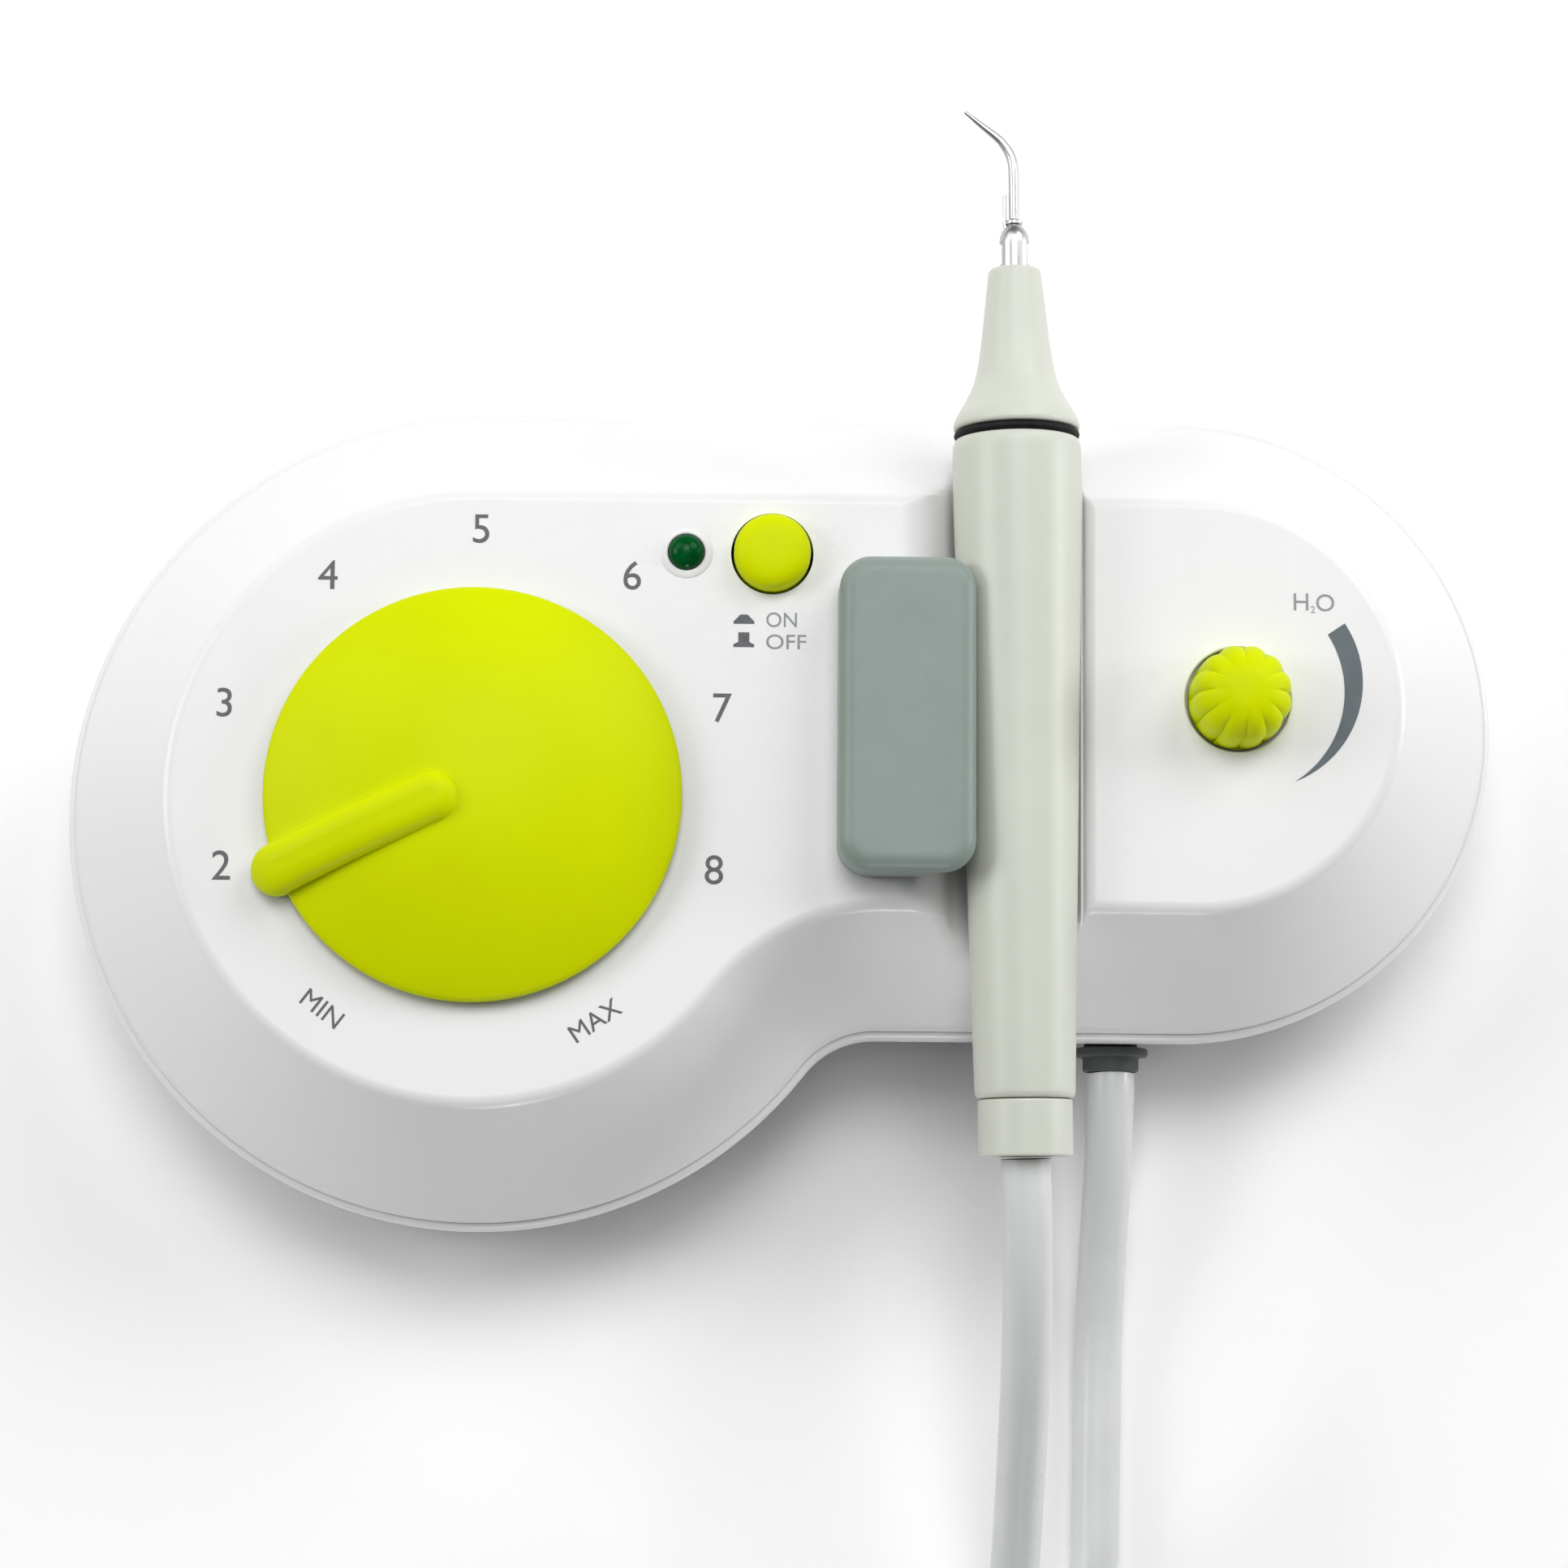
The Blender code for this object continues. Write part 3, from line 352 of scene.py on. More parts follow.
def turned(name, profile, along="Z", segments=96, vary=None, at=(0, 0, 0)):
    """Turns a profile of (radius, height) points about Z or Y, open on the axis or closed."""
    points, starts = [], []
    for radius, height in profile:
        starts.append((len(points), radius == 0))
        for i in range(1 if radius == 0 else segments):
            angle = 2 * pi * i / segments
            r = vary(radius, height, angle) if vary and radius else radius
            x, y = r * cos(angle), r * sin(angle)
            local = (x, y, height) if along == "Z" else (x, height, -y)
            points.append(tuple(a + b for a, b in zip(local, at)))
    faces = []
    for k in range(len(profile) if profile[0][0] != 0 else len(profile) - 1):
        (a, a_tip), (b, b_tip) = starts[k], starts[(k + 1) % len(profile)]
        for i in range(segments):
            j = (i + 1) % segments
            near = (a,) if a_tip else (a + i, a + j)
            far = (b,) if b_tip else (b + j, b + i)
            faces.append(near + far)
    return shape(name, points, faces)


def arc(centre, radius, start, end, steps):
    """Points on an arc from start to end degrees."""
    angles = [radians(start + (end - start) * i / steps) for i in range(steps + 1)]
    return [(centre[0] + radius * cos(a), centre[1] + radius * sin(a)) for a in angles]


def spaced(start, end, count):
    """Points evenly between two others, without the two."""
    a, b = Vector(start), Vector(end)
    return [tuple(a.lerp(b, i / (count + 1))) for i in range(1, count + 1)]


def smooth_route(points, step):
    """Points about step apart on a Catmull-Rom curve through the route's own points."""
    route = [Vector(p) for p in points]
    route = [route[0] * 2 - route[1], *route, route[-1] * 2 - route[-2]]
    line = []
    for a, b, c, d in zip(route, route[1:], route[2:], route[3:]):
        pieces = max(1, ceil((c - b).length / step))
        for i in range(pieces):
            t = i / pieces
            line.append(0.5 * (2 * b + (c - a) * t + (2 * a - 5 * b + 4 * c - d) * t**2
                               + (3 * b - a - 3 * c + d) * t**3))
    return [*line, route[-2]]


def soften(profile, step):
    """A finer profile through the same points, on a smooth curve."""
    return [tuple(p)[:2] for p in smooth_route([(*p, 0) for p in profile], step)]


def round_corners(profile, radius, steps=5):
    """A closed profile with each of its corners rounded by up to radius."""
    done = []
    count = len(profile)
    for i in range(count):
        before, here, after = (Vector(profile[(i + k) % count]) for k in (-1, 0, 1))
        a, b = before - here, after - here
        reach = min(radius, a.length * 0.45, b.length * 0.45)
        first, last = here + a.normalized() * reach, here + b.normalized() * reach
        for s in range(steps + 1):
            t = s / steps
            done.append(tuple((1 - t) ** 2 * first + 2 * t * (1 - t) * here + t * t * last))
    return done


def tube_along(name, line, radii, sides=16):
    """A capped tube whose rings stand square to the line, and the ring centres in metres."""
    normal = None
    rings = []
    for i, point in enumerate(line):
        ahead = (line[min(i + 1, len(line) - 1)] - line[max(i - 1, 0)]).normalized()
        if normal is None:
            normal = ahead.orthogonal().normalized()
        normal = (normal - ahead * normal.dot(ahead)).normalized()
        other = ahead.cross(normal)
        radius = radii[i] if isinstance(radii, list) else radii
        turns = [2 * pi * k / sides for k in range(sides)]
        rings.append([point + radius * (cos(a) * normal + sin(a) * other) for a in turns])
    return loft(name, rings)


def combine(item, other, operation):
    """Applies a Boolean with another shape and removes that shape."""
    modifier = item.modifiers.new("boolean", "BOOLEAN")
    modifier.operation = operation
    modifier.object = other
    modifier.solver = "EXACT"
    apply_modifiers(item)
    bpy.data.objects.remove(other)
    return item


def cut(item, other):
    return combine(item, other, "DIFFERENCE")


def join(item, other):
    return combine(item, other, "UNION")


def drill(item, centre, radius, low, high, segments=64):
    """Cuts an upright round hole."""
    profile = [(0, high), (radius, high), (radius, low), (0, low)]
    return cut(item, turned("hole", profile, segments=segments, at=(*centre, 0)))


def apply_modifiers(item):
    bpy.context.view_layer.update()
    evaluated = item.evaluated_get(bpy.context.evaluated_depsgraph_get())
    mesh = bpy.data.meshes.new_from_object(evaluated)
    item.modifiers.clear()
    old, item.data = item.data, mesh
    bpy.data.meshes.remove(old)


def complete(item, body, slot, nodes=(), finish=None, sharp=32, weighted=True):
    """Shades the piece, gives it its material and hands it to its body.

    slot is its material in the record, and finish is its look here, where that differs.
    """
    work = bmesh.new()
    work.from_mesh(item.data)
    bmesh.ops.remove_doubles(work, verts=work.verts, dist=1e-7)
    bmesh.ops.dissolve_degenerate(work, edges=work.edges, dist=1e-7)
    work.to_mesh(item.data)
    work.free()
    item.data.shade_smooth()
    item.data.set_sharp_from_angle(angle=radians(sharp))
    if weighted:
        even = item.modifiers.new("even_shading", "WEIGHTED_NORMAL")
        even.keep_sharp = True
        even.weight = 60
        apply_modifiers(item)
    item.data.materials.clear()
    item.data.materials.append(MATERIALS[finish or slot])
    if body:
        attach(item, body)
    if nodes:
        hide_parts(*nodes)
    return item


# ---- the console ----


def outline(inset):
    """The console's outline, moved inwards; its straight parts have a point at each column."""
    left_r, right_r, corner_r = LEFT_R - inset, RIGHT_R - inset, CORNER_R + inset
    corner_y = FRONT_Y - CORNER_R
    corner_x = LEFT.x + sqrt((LEFT_R + CORNER_R) ** 2 - (corner_y - LEFT.y) ** 2)
    meet = degrees(atan2(corner_y - LEFT.y, corner_x - LEFT.x))
    back, front = BACK_Y - inset, FRONT_Y + inset
    columns = [x for x, _ in GROOVE_LINE]
    return [
        *arc(LEFT, left_r, 90, 360 + meet, LEFT_STEPS),
        *arc((corner_x, corner_y), corner_r, 180 + meet, 90, 26)[1:],
        *[(x, front) for x in columns],
        *spaced((columns[-1], front), (RIGHT.x, front), 3),
        *arc(RIGHT, right_r, -90, 90, 90),
        *spaced((RIGHT.x, back), (columns[-1], back), 3),
        *[(x, back) for x in reversed(columns)],
        *spaced((columns[0], back), (LEFT.x, back), 10),
    ]


def groove_line():
    """The cradle groove's section, as (x, z) points from left to right."""
    left_edge = arc((16.15, 39.5), 8.5, 90, 24.1, 16)
    left_wall = arc((29.84, 45.62), 6.5, 204.1, 270, 12)[1:]
    seat = arc(SEAT, SEAT_R, -90, -15.5, 16)
    right_edge = arc((44.7, 46.1), 1.9, 180, 90, 9)
    return [(15.2, PANEL_Z), *left_edge, *left_wall, (31.6, 39.1), *seat, *right_edge,
            (45.8, PANEL_Z)]


GROOVE_LINE = groove_line()


def ring_at(inset, z):
    return [(*p, z) for p in outline(inset)]


def groove(grow):
    """The shape that the groove's walls keep out of the hollow inside the case."""
    floor = PANEL_Z - 8.9 - grow
    left, right, above = 17.15, 42.8 + grow, PANEL_Z + 4
    section = [(left, above), *arc((left, 41.0), 7.0 - grow, 90, 0, 8), (24.15 - grow, floor),
               *arc(SEAT, SEAT_R + grow, -90, -16, 12), (right, 47.8), (right + 0.2, above)]
    return loft("groove", [[(x, y, z) for x, z in section] for y in (FRONT_Y - 12, BACK_Y + 12)])


def top_surface(levels):
    """The case's outside: rings down the slope, the flat panel, and the groove across it."""
    depth = {round(x, 4): PANEL_Z - z for x, z in GROOVE_LINE}
    rings = []
    for inset, z in levels:
        down = PANEL_Z - z
        ring = []
        for x, y in outline(inset):
            straight = abs(y - FRONT_Y - inset) < 1e-6 or abs(y - BACK_Y + inset) < 1e-6
            across = depth.get(round(x, 4), 0.0) if straight else 0.0
            low = (across**SOFTNESS + down**SOFTNESS) ** (1 / SOFTNESS)
            ring.append((x, y, PANEL_Z - low))
        rings.append(ring)
    count = len(rings[0])
    points = [p for ring in rings for p in ring]
    total = len(points)
    faces = [tuple(range(total - count, total)), *bands(count, total)]

    # Strips from front to back across the panel, one between each two columns of the groove
    inner = rings[0]
    front = [next(i for i, p in enumerate(inner)
                  if abs(p[0] - x) < 1e-6 and p[1] < 0 and i > LEFT_STEPS) for x, _ in GROOVE_LINE]
    back = [next(i for i, p in enumerate(inner)
                 if abs(p[0] - x) < 1e-6 and p[1] > 0) for x, _ in GROOVE_LINE]
    rows, lines = 12, []
    for i, j in zip(front, back):
        line = [i]
        for k in range(1, rows):
            line.append(len(points))
            share = k / rows
            points.append(tuple(a + (b - a) * share for a, b in zip(inner[i], inner[j])))
        lines.append([*line, j])
    for one, two in zip(lines, lines[1:]):
        for k in range(rows):
            faces.append((one[k], two[k], two[k + 1], one[k + 1]))
    # The flat panel on either side of them
    first, last = lines[0], lines[-1]
    faces.append((*range(back[0], count), *range(0, front[0]), *first[:-1]))
    faces.append((*range(front[-1], back[-1]), *reversed(last[1:])))
    return shape("case_top", points, faces)


def case_top():
    """The upper half: a hollow shell with a rounded panel edge, a slope and a step at the seam."""
    angle = atan2(PANEL_Z - SLOPE_FOOT[1], SLOPE_IN - SLOPE_FOOT[0])
    flat_in = SLOPE_IN + EDGE_R * tan(angle / 2)
    turns = [angle * i / 8 for i in range(9)]
    levels = [(flat_in - EDGE_R * sin(a), PANEL_Z - EDGE_R * (1 - cos(a))) for a in turns]
    slope_top, slope_end = Vector(levels[-1]), Vector((2.05, 26.25))
    levels += [tuple(slope_top.lerp(slope_end, i / 14)) for i in range(1, 15)]
    levels += [(1.75, 25.75), (1.6, 25.3), (1.45, 24.75), (1.15, 24.3)]
    body = top_surface(levels)
    slanted = WALL / sin(angle)
    inner = [(SLOPE_IN + slanted - 1.0, PANEL_Z - PANEL_THICK),
             (SLOPE_FOOT[0] + slanted, SLOPE_FOOT[1]), (1.1 + slanted, SEAM_Z - 1)]
    hollow = loft("hollow", [ring_at(*level) for level in inner])
    cut(hollow, groove(WALL))
    cut(body, hollow)
    low, high = PANEL_Z - 6, PANEL_Z + 3
    drill(body, LEFT, 4.85, low, high)
    drill(body, BUTTON, 5.95, low, high)
    drill(body, LED, 3.5, low, high, 48)
    recess = [(0, high), (7.85, high), (7.85, PANEL_Z + 0.01), (7.65, PANEL_Z - 0.2),
              (7.65, PANEL_Z - 2.2), (3.85, PANEL_Z - 2.2), (3.85, low), (0, low)]
    cut(body, turned("recess", recess, segments=96, at=(*WATER, 0)))
    complete(body, "console", "white_plastic", ["upper_shell"], sharp=28)


def case_bottom():
    """The lower half: a tray with the openings for the sockets and the hose."""
    levels = [
        (1.0, SEAM_Z), (0.6, 23.85), (0.25, 23.5), (0.05, 22.9), (0.0, 22.2), (0.0, 19.0),
        (0.3, 15.0), (1.2, 8.0), (2.0, 6.2), (3.2, 4.8), (4.5, BASE_Z),
    ]
    body = loft("case_bottom", [ring_at(*level) for level in levels])
    inner = [(3.1, SEAM_Z + 1), (3.4, 8.2), (5.6, BASE_Z + WALL)]
    cut(body, loft("hollow", [ring_at(*level) for level in inner]))
    sockets = ((-32.0, 4.56), (-8.0, 4.16), (22.0, 4.16))
    for x, radius in sockets:
        hole = [(0, BACK_Y - 8), (radius, BACK_Y - 8), (radius, BACK_Y + 3), (0, BACK_Y + 3)]
        cut(body, turned("hole", hole, along="Y", segments=48, at=(x, 0, 12.5)))
    hole = [(0, FRONT_Y - 3), (4.36, FRONT_Y - 3), (4.36, FRONT_Y + 8), (0, FRONT_Y + 8)]
    cut(body, turned("hole", hole, along="Y", segments=48, at=GLAND))
    complete(body, "console", "white_plastic", ["base_shell"], sharp=28)


def rounded_box(x, y, radius, inset, steps):
    """The outline of a rectangle with round corners, moved inwards."""
    r = radius - inset
    corners = [((x[1] - radius, y[1] - radius), 0), ((x[0] + radius, y[1] - radius), 90),
               ((x[0] + radius, y[0] + radius), 180), ((x[1] - radius, y[0] + radius), 270)]
    return [p for centre, start in corners for p in arc(centre, r, start, start + 90, steps)]


def holder():
    """The soft block that hooks over the left side of the handpiece."""
    x, y, top, edge = (7.25, 26.75), (-31.2, 13.9), PANEL_Z + 10.0, 2.4
    levels = [(0.35, PANEL_Z + 0.3), (0.0, PANEL_Z + 0.7), (0.0, top - edge)]
    levels += [(edge - edge * cos(radians(a)), top - edge + edge * sin(radians(a)))
               for a in (12, 24, 36, 48, 60, 72, 82)]
    levels += [(2.75, top)]
    rings = [[(*p, z) for p in rounded_box(x, y, 4.5, inset, 14)] for inset, z in levels]
    body = loft("holder_pad", rings)
    under, lip = x[0] + 12.4, top - 2.9
    section = [(under, PANEL_Z - 1), (under, lip - 2.6), (under + 0.65, lip - 1.5),
               (under + 2.2, lip - 0.5), (x[1] - 1.2, lip), (x[1] - 0.4, lip + 0.2),
               (x[1] + 1, lip + 0.8), (x[1] + 1, PANEL_Z - 1)]
    cut(body, loft("throat", [[(a, end, b) for a, b in section] for end in (y[0] - 2, y[1] + 2)]))
    complete(body, "console", "grey_silicone", ["handpiece_holder"], sharp=40)


def gland():
    """The collar through which the hose leaves the front of the case."""
    wall = FRONT_Y - 0.3
    profile = [(2.4, wall - 3.6), (4.2, wall - 3.6), (4.2, wall - 1.3), (5.6, wall - 1.3),
               (5.6, wall), (4.0, wall), (4.0, wall + 8.6), (2.4, wall + 8.6)]
    body = turned("hose_collar", round_corners(profile, 0.5, 4), along="Y", segments=64, at=GLAND)
    complete(body, "console", "black_rubber", ["hose_gland"], finish="collar_rubber")


# ---- controls ----


def pointer_bar():
    """A bar with round ends whose rounded top follows a sphere flatter than the knob's dome."""
    half, outer_x, inner_x, height = 3.7, 29.8, 5.5, 12.4
    levels = [(0.0, None)]
    levels += [(2.9 * (1 - cos(radians(a))), 2.3 * (1 - sin(radians(a))))
               for a in (0, 12, 24, 36, 48, 60, 72, 84, 90)]
    points = []
    for inset, down in levels:
        side = arc((outer_x, 0), half - inset, 0, 90, 14)
        side += spaced((outer_x, half - inset), (inner_x, half - inset), 14)
        side += arc((inner_x, 0), half - inset, 90, 180, 14)
        ring = side + [(x, -y) for x, y in reversed(side[1:-1])]
        for x, y in ring:
            top = height - (POINTER_SPHERE - sqrt(POINTER_SPHERE**2 - x**2))
            points.append((x, y - POINTER_OFFSET, KNOB_RIM if down is None else top - down))
    count, last, cap = len(ring), len(side) - 1, len(points) - len(ring)
    faces = [tuple(range(count)), *bands(count, len(points))]
    faces += [(cap, cap + 1, cap + count - 1), (cap + last, cap + last + 1, cap + last - 1)]
    for i in range(1, last - 1):
        faces.append((cap + i, cap + i + 1, cap + count - i - 1, cap + count - i))
    return shape("pointer", points, faces)


def power_knob():
    """A domed dial, hollow underneath, with the pointer bar joined to it."""
    def dome(radius, drop=0.0):
        return KNOB_TOP - drop - (KNOB_SPHERE - sqrt(KNOB_SPHERE**2 - radius**2))

    edge = KNOB_R - 0.7
    top = [(edge * i / 26, dome(edge * i / 26)) for i in range(27)]
    top += [(KNOB_R - 0.35, dome(edge) - 0.28), (KNOB_R - 0.08, dome(edge) - 0.62),
            (KNOB_R, dome(edge) - 0.93)]
    under = [(r, dome(r, 2.0)) for r in (KNOB_R - 2.4, 23.0, 18.0, 12.0, 6.5)]
    profile = [*top, (KNOB_R, KNOB_RIM + 0.4), (KNOB_R - 0.15, KNOB_RIM + 0.12),
               (KNOB_R - 0.4, KNOB_RIM), (KNOB_R - 2.2, KNOB_RIM), *under, (6.5, 3.2), (3.3, 3.2),
               (3.3, 8.3), (0, 8.3)]
    knob = turned("dial_knob", profile, segments=160, at=(*LEFT, PANEL_Z))

    bar = pointer_bar()
    well = [(0, 9.3), (4.9, 9.3), (4.9, 3.8), (26, 3.8), (26, -1), (0, -1)]
    cut(bar, turned("well", well, segments=64))
    turn = Matrix.Rotation(radians(POINTER_TURN), 4, "Z")
    bar.data.transform(Matrix.Translation(Vector((*LEFT, PANEL_Z)) * MM) @ turn)
    join(knob, bar)
    complete(knob, "power_knob", "lime_plastic", ["power_knob"], sharp=30)


def power_button():
    """A push button with a crowned top."""
    top = PANEL_Z + 4.0
    crown = [(0, top), (1.6, top - 0.04), (3.0, top - 0.18), (4.0, top - 0.42), (4.7, top - 0.78),
             (5.15, top - 1.2), (5.42, top - 1.75), (5.55, top - 2.5)]
    profile = [*soften(crown, 0.3), (5.55, 44.5), (1.9, 44.5), (1.9, 49.2), (0, 49.2)]
    cap = turned("switch_cap", profile, segments=96, at=(*BUTTON, 0))
    complete(cap, "power_button", "lime_plastic", ["power_button"], sharp=35)


def status_led():
    """The lamp's domed lens and the thin ring round it."""
    lens_r, dome_foot, dome_height = 2.6, PANEL_Z - 0.1, 1.9
    dome = [(lens_r * sin(radians(a)), dome_foot + dome_height * cos(radians(a)))
            for a in range(8, 91, 8)]
    profile = [(0, PANEL_Z + 1.8), *dome, (lens_r, PANEL_Z - 0.4), (2.45, 47.4), (2.45, 42.2),
               (0, 42.2)]
    complete(turned("led_lens", profile, segments=64, at=(*LED, 0)), "console", "green_led",
             ["status_led"])
    ring = [(2.68, 48.1), (2.85, 48.22), (3.1, 48.22), (3.5, 48.15), (3.8, 48.06), (3.85, 48.02),
            (3.15, 48.02), (3.15, 43.2), (2.75, 43.2), (2.68, 43.6)]
    complete(turned("led_ring", ring, segments=64, at=(*LED, 0)), "console", "white_plastic",
             ["led_bezel"])


def water_knob():
    """A small domed knob with lobes round its side."""
    def flutes(radius, height, angle):
        """Leaves the middle of the dome, the underside and the socket inside round."""
        if radius < 2.2 or height < -0.8 or (radius < 5.65 and height < 8):
            return radius
        depth = 0.085 * min(1.0, (radius - 2.2) / 3.4)
        return radius * (1 - depth * (1 - abs(sin(WATER_LOBES / 2 * angle)) ** 0.6))

    dome = soften([(0, 10.4), (1.4, 10.36), (2.8, 10.15), (4.6, 9.4), (5.95, 8.2), (6.75, 6.6),
                   (7.08, 5.0), (7.18, 3.4), (7.2, 1.8), (7.2, 0.8)], 0.5)
    side = [(7.2, 0.2), (7.2, -1.0)]
    inside = [(5.6, -1.0), (5.6, 3.3), (2.35, 3.3), (2.35, 7.7), (0, 7.7)]
    profile = [*dome, *side, *inside]
    knob = turned("water_dial", profile, segments=WATER_LOBES * 14, vary=flutes,
                  at=(*WATER, PANEL_Z))
    complete(knob, "water_knob", "lime_plastic", ["water_knob"], sharp=40)


# ---- the handpiece ----


def place_on_axis(item):
    """Moves a piece built along Y onto the handpiece's axis."""
    item.matrix_world = Matrix.Translation(HANDPIECE_AT * MM) @ HANDPIECE_TURN.to_matrix().to_4x4()
    return item


def handpiece():
    """Sleeve, seal ring, nose cone and hose connector; y is the place along the axis."""
    outside = [(8.35, -0.64), (8.75, -0.69), (9.02, -0.92), (9.22, -1.5), (9.3, -2.3), (9.3, -3.0)]
    outside += soften([(9.3, -3.0), (9.3, -9.0), (8.98, -22.0), (8.65, -36.0), (8.3, -50.0),
                       (7.95, -64.0), (7.58, -79.0), (7.25, -92.8)], 4)[1:]
    outside += [(7.2, -94.8), (7.1, -95.3), (6.88, -95.62), (6.6, -95.8)]
    inside = [(5.75, -95.8), (5.75, -86.0), (7.3, -40.0), (7.9, -0.64)]
    sleeve = place_on_axis(turned("sleeve", [*outside, *inside], along="Y", segments=96))
    complete(sleeve, "handpiece", "handpiece_plastic", ["handle_sleeve"], sharp=40)

    ring = [(8.5 + 0.6 * cos(radians(a)), 0.6 * sin(radians(a))) for a in range(0, 360, 30)]
    seal = place_on_axis(turned("o_ring", ring, along="Y", segments=96))
    complete(seal, "handpiece", "black_rubber", ["seal_ring"])

    nose = [(8.5, 0.64), (8.85, 0.69), (9.08, 0.9), (9.16, 1.4)]
    nose += soften([(9.16, 1.4), (8.75, 2.7), (7.4, 5.0), (6.3, 7.3), (5.75, 9.2), (5.1, 13.1),
                    (4.4, 19.1), (3.95, 23.2)], 0.8)[1:]
    nose += [(3.88, 23.9), (3.76, 24.3), (3.5, 24.55), (3.3, 24.6)]
    nose += [(2.8, 24.6), (2.8, 12.0), (4.4, 3.0), (7.6, 0.64)]
    cone = place_on_axis(turned("nose", nose, along="Y", segments=96))
    complete(cone, "handpiece", "handpiece_plastic", ["nose_cone"], sharp=40)

    tail = [(5.2, -87.0), (3.2, -87.0), (3.2, -97.0), (4.0, -97.4), (4.0, -104.0), (6.3, -104.0),
            (6.6, -103.9), (6.75, -103.6), (6.75, -96.35), (6.65, -96.05), (6.4, -95.9),
            (5.2, -95.9)]
    end = place_on_axis(turned("tail", tail, along="Y", segments=96))
    complete(end, "hose_connector", "handpiece_plastic", ["hose_connector"], sharp=40)


def tip():
    """The screwed-on tip: a spanner-flat base, a collar, a bent shaft and a thin water pipe."""
    base = [(0, 23.0), (2.2, 23.0), (2.2, 28.4), (2.1, 29.4), (1.8, 30.2), (1.35, 30.8),
            (1.1, 31.1), (1.25, 31.35), (1.25, 31.75), (0.85, 32.05), (0, 32.2)]
    body = turned("tip", base, along="Y", segments=48)
    for side in (-1, 1):
        flat = [(side * 1.8, y, z) for y, z in ((25.2, -3), (28.6, -3), (28.6, 3), (25.2, 3))]
        far = [(side * 4.0, y, z) for _, y, z in flat]
        cut(body, loft("flat", [flat, far]))
    line = smooth_route([(0, 32.0, 0), (0, 34, 0), (0, 36, 0), (0, 39, 0), (-0.1, 40.5, 0),
                         (-0.5, 41.8, 0), (-1.2, 43.0, 0), (-2.2, 44.2, 0), (-4.5, 46.1, 0),
                         (-6.95, 48.15, 0)], 0.35)
    thick, thin, taper_from, taper_to = 0.74, 0.26, 41.0, 48.15
    radii = []
    for p in line:
        late = min(max((p.y - taper_from) / (taper_to - taper_from), 0.0), 1.0)
        radii.append(thick - (thick - thin) * late**1.5)
    join(body, tube_along("shaft", line, radii, 20))
    pipe = [Vector((-1.35, y, 0.25)) for y in (29.6, 30.4, 31.2, 32.4, 33.6, 34.8, 35.6)]
    pipe[0].x, pipe[1].x = -0.9, -1.2
    join(body, tube_along("pipe", pipe, 0.3, 12))
    place_on_axis(body)
    complete(body, "handpiece", "steel", ["scaler_tip"], sharp=30)


# ---- the hose ----


def hose_route():
    """From the gland to the coil, six turns less a little in two layers, and to the connector."""
    strand = [
        (50.0, -56.85, 13.0), (50.0, -60, 12.95), (49.8, -70, 11.0), (49.5, -79, 7.9),
        (49.2, -88, 5.3), (48.9, -98, 3.9), (48.7, -110, 3.7), (48.5, -122, 3.7),
        (48.4, -131, 3.7),
    ]
    lay, pitch, coil_r = 3.7, 7.4, 48.6  # pitch is both from turn to turn and from layer to layer
    points = smooth_route(strand, 2.5)[:-1]
    points += [Vector((*p, lay)) for p in arc((83.5, -131.7), 35.4, 180, 240, 15)[:-1]]

    def between(t, start, end):
        """Rises smoothly from 0 to 1 while t goes from start to end."""
        s = min(max((t - start) / (end - start), 0.0), 1.0)
        return s * s * (3 - 2 * s)

    turns, per_turn, start_turn = 5 + 5 / 6, 48, 60
    for i in range(int(turns * per_turn) + 1):
        t = i / per_turn
        r = coil_r - pitch * (between(t, 0.8, 1.0) + between(t, 1.8, 2.0))
        r += pitch * (between(t, 3.3, 3.55) + between(t, 4.3, 4.55))
        z = lay + pitch * between(t, 2.55, 2.8)
        angle = radians(start_turn - 360 * t)
        points.append(Vector((COIL.x + r * cos(angle), COIL.y + r * sin(angle), z)))
    out = [
        (17.2, -162.4, lay + pitch), (24.5, -156.6, 11.2), (29.6, -149.8, 11.9),
        (33.3, -141.6, 14.2), (34.8, -133, 18.2), (35.1, -126, 22.2), (35.2, -118, 27.2),
        (35.2, -110, 32.4), (35.2, -102, 37.4), (35.1, -94, 41.6), (34.9, -86, 44.6),
        (34.7, -78, 46.2), (34.47, -71.07, 46.82),
    ]
    before = points[-4:-1]
    joined = smooth_route([*before, *out], 2.5)
    start = next(i for i, p in enumerate(joined) if (p - Vector(out[0])).length < 1e-6)
    return points[:-1] + joined[start:]


def hose():
    """The whole hose as one cord, which rides on no body."""
    line = hose_route()
    body = tube_along("hose", line, HOSE_R, 20)
    complete(body, None, "hose_silicone",
             ["hose_from_console", "hose_to_handpiece", "hose_coil"], weighted=False)
    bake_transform(body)


# ---- printed marks ----


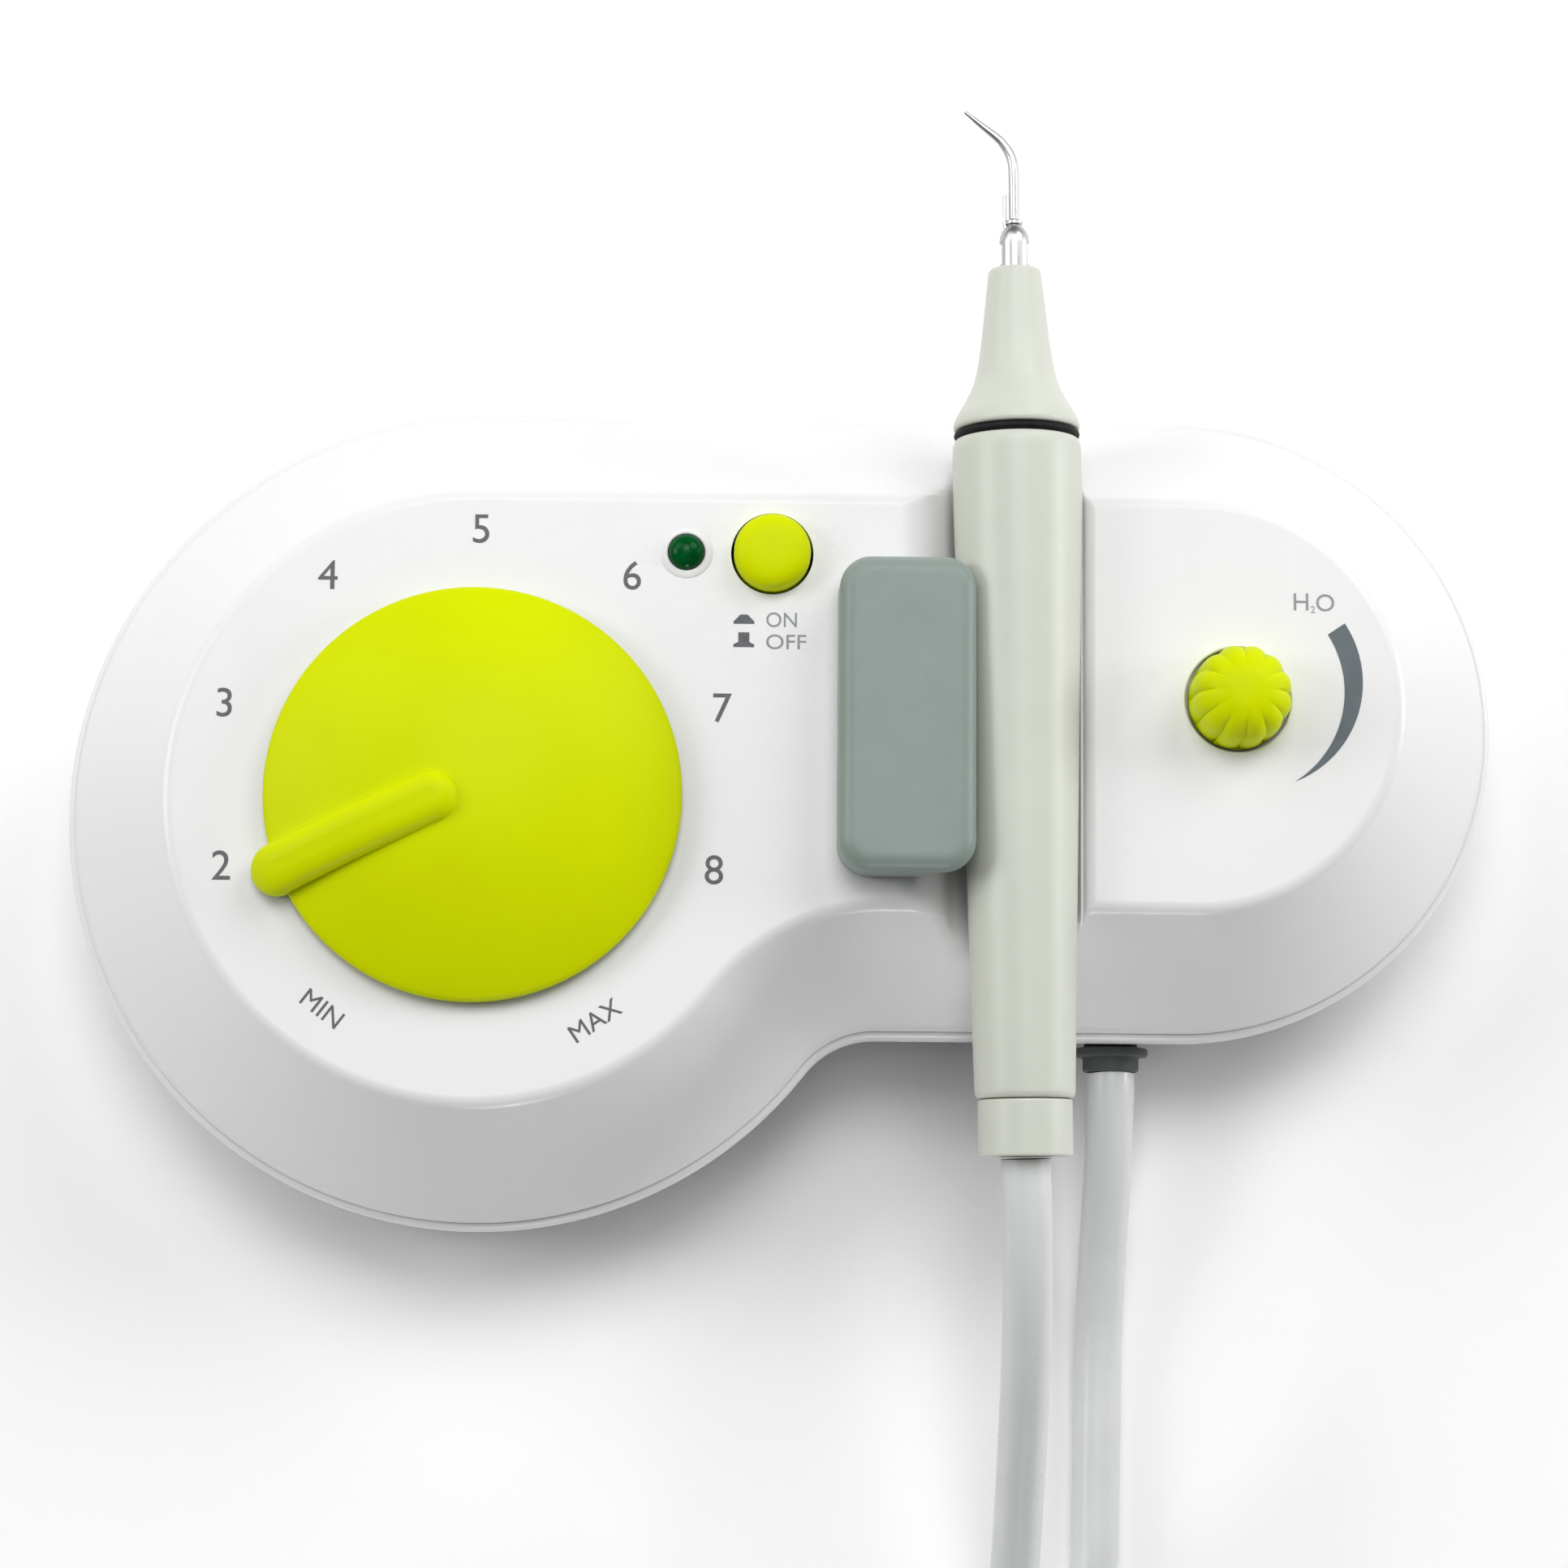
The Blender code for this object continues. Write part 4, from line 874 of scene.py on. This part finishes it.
def word(text, height, centre, turn=0.0, width=None):
    """(points, faces) of a thin raised print of the text, centred on a point of the panel."""
    curve = bpy.data.curves.new("word", "FONT")
    curve.body = text
    curve.size = 0.01
    curve.extrude = 0.00001
    curve.resolution_u = 6
    item = bpy.data.objects.new("word", curve)
    bpy.context.scene.collection.objects.link(item)
    bpy.context.view_layer.update()
    mesh = item.evaluated_get(bpy.context.evaluated_depsgraph_get()).to_mesh()
    points = [v.co.copy() for v in mesh.vertices]
    faces = [tuple(p.vertices) for p in mesh.polygons]
    bpy.data.objects.remove(item)
    low = [min(p[k] for p in points) for k in (0, 1)]
    high = [max(p[k] for p in points) for k in (0, 1)]
    tall = height / (high[1] - low[1])
    wide = width / (high[0] - low[0]) if width else tall
    spin = Matrix.Rotation(radians(turn), 3, "Z")
    placed = []
    for p in points:
        x, y = (p.x - (low[0] + high[0]) / 2) * wide, (p.y - (low[1] + high[1]) / 2) * tall
        at = spin @ Vector((x, y, 0))
        z = PANEL_Z + (PRINT_TOP if p.z > 0 else PRINT_FOOT)
        placed.append((at.x + centre[0], at.y + centre[1], z))
    return placed, faces


def print_piece(name, parts, finish):
    """Joins (points, faces) parts into one printed piece on the console."""
    points, faces = [], []
    for part_points, part_faces in parts:
        faces += [tuple(i + len(points) for i in face) for face in part_faces]
        points += part_points
    complete(shape(name, points, faces), "console", "dark_plastic", finish=finish, weighted=False)


def flat_mark(outline_points):
    """(points, faces) of a thin raised print with this outline."""
    count = len(outline_points)
    points = [(*p, PANEL_Z + PRINT_FOOT) for p in outline_points]
    points += [(*p, PANEL_Z + PRINT_TOP) for p in outline_points]
    faces = [tuple(range(count)), tuple(range(count, 2 * count))]
    faces += [(i, (i + 1) % count, count + (i + 1) % count, count + i) for i in range(count)]
    return points, faces


def printed_marks():
    """The dial's numbers and words, the switch's words and symbols, and the water scale."""
    numbers = []
    places = ((-80.44, -30.47), (-80.59, -7.0), (-66.23, 11.75), (-44.33, 18.76),
              (-22.46, 12.18), (-9.28, -7.0), (-10.24, -30.4))
    for number, place in enumerate(places, 2):
        numbers.append(word(str(number), 4.2, place))
    print_piece("dial_numbers", numbers, "dark_ink")
    words = [word("MIN", 2.6, (-65.6, -50.8), -37), word("MAX", 2.6, (-26.9, -52.05), 35)]
    print_piece("range_words", words, "dark_ink")
    switch = [word("ON", 2.15, (-0.89, 5.95), width=4.4),
              word("OFF", 2.15, (-0.2, 2.72), width=5.75)]
    print_piece("switch_words", switch, "grey_ink")

    def symbol(x, y, points):
        return flat_mark([(x + a, y + b) for a, b in points])

    pressed = [(-1.5, -0.5), (1.5, -0.5), (1.5, -0.15), (0.8, 0.55), (0.55, 0.85), (-0.55, 0.85),
               (-0.8, 0.55), (-1.5, -0.15)]
    raised = [(-1.5, -1.0), (1.5, -1.0), (1.5, -0.6), (0.8, -0.25), (0.8, 1.15), (-0.8, 1.15),
              (-0.8, -0.25), (-1.5, -0.6)]
    print_piece("switch_symbols", [symbol(-6.3, 5.8, pressed), symbol(-6.3, 2.9, raised)],
                "dark_ink")
    water = [word("H", 2.5, (74.2, 9.5)), word("2", 1.0, (75.9, 8.4)), word("O", 2.5, (77.7, 9.4))]
    print_piece("water_words", water, "grey_ink")

    # A crescent between two arcs that are not concentric
    outer = arc((67.33, -2.14), 15.71, 33.0, -68.0, 40)
    inner = arc((64.73, -3.51), 15.66, 31.8, -56.9, 40)
    print_piece("water_scale", [flat_mark(outer + inner[::-1])], "slate_ink")


# ---- everything ----


def set_aside_cad_materials():
    """Renames the imported materials, so that the procedural ones can have their names."""
    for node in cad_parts.values():
        for used in node.data.materials:
            if used and not used.name.startswith("cad_"):
                used.name = "cad_" + used.name


def finish_cad_nodes():
    """Gives each CAD node the procedural material that is named like its own."""
    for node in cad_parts.values():
        for place in node.material_slots:
            slot_name = place.material.name.removeprefix("cad_").split(".")[0]
            place.material = MATERIALS[slot_name]


camera()
set_aside_cad_materials()
MATERIALS = all_materials()
finish_cad_nodes()
studio()
hose()
case_top()
case_bottom()
holder()
gland()
power_knob()
power_button()
status_led()
water_knob()
handpiece()
tip()
printed_marks()
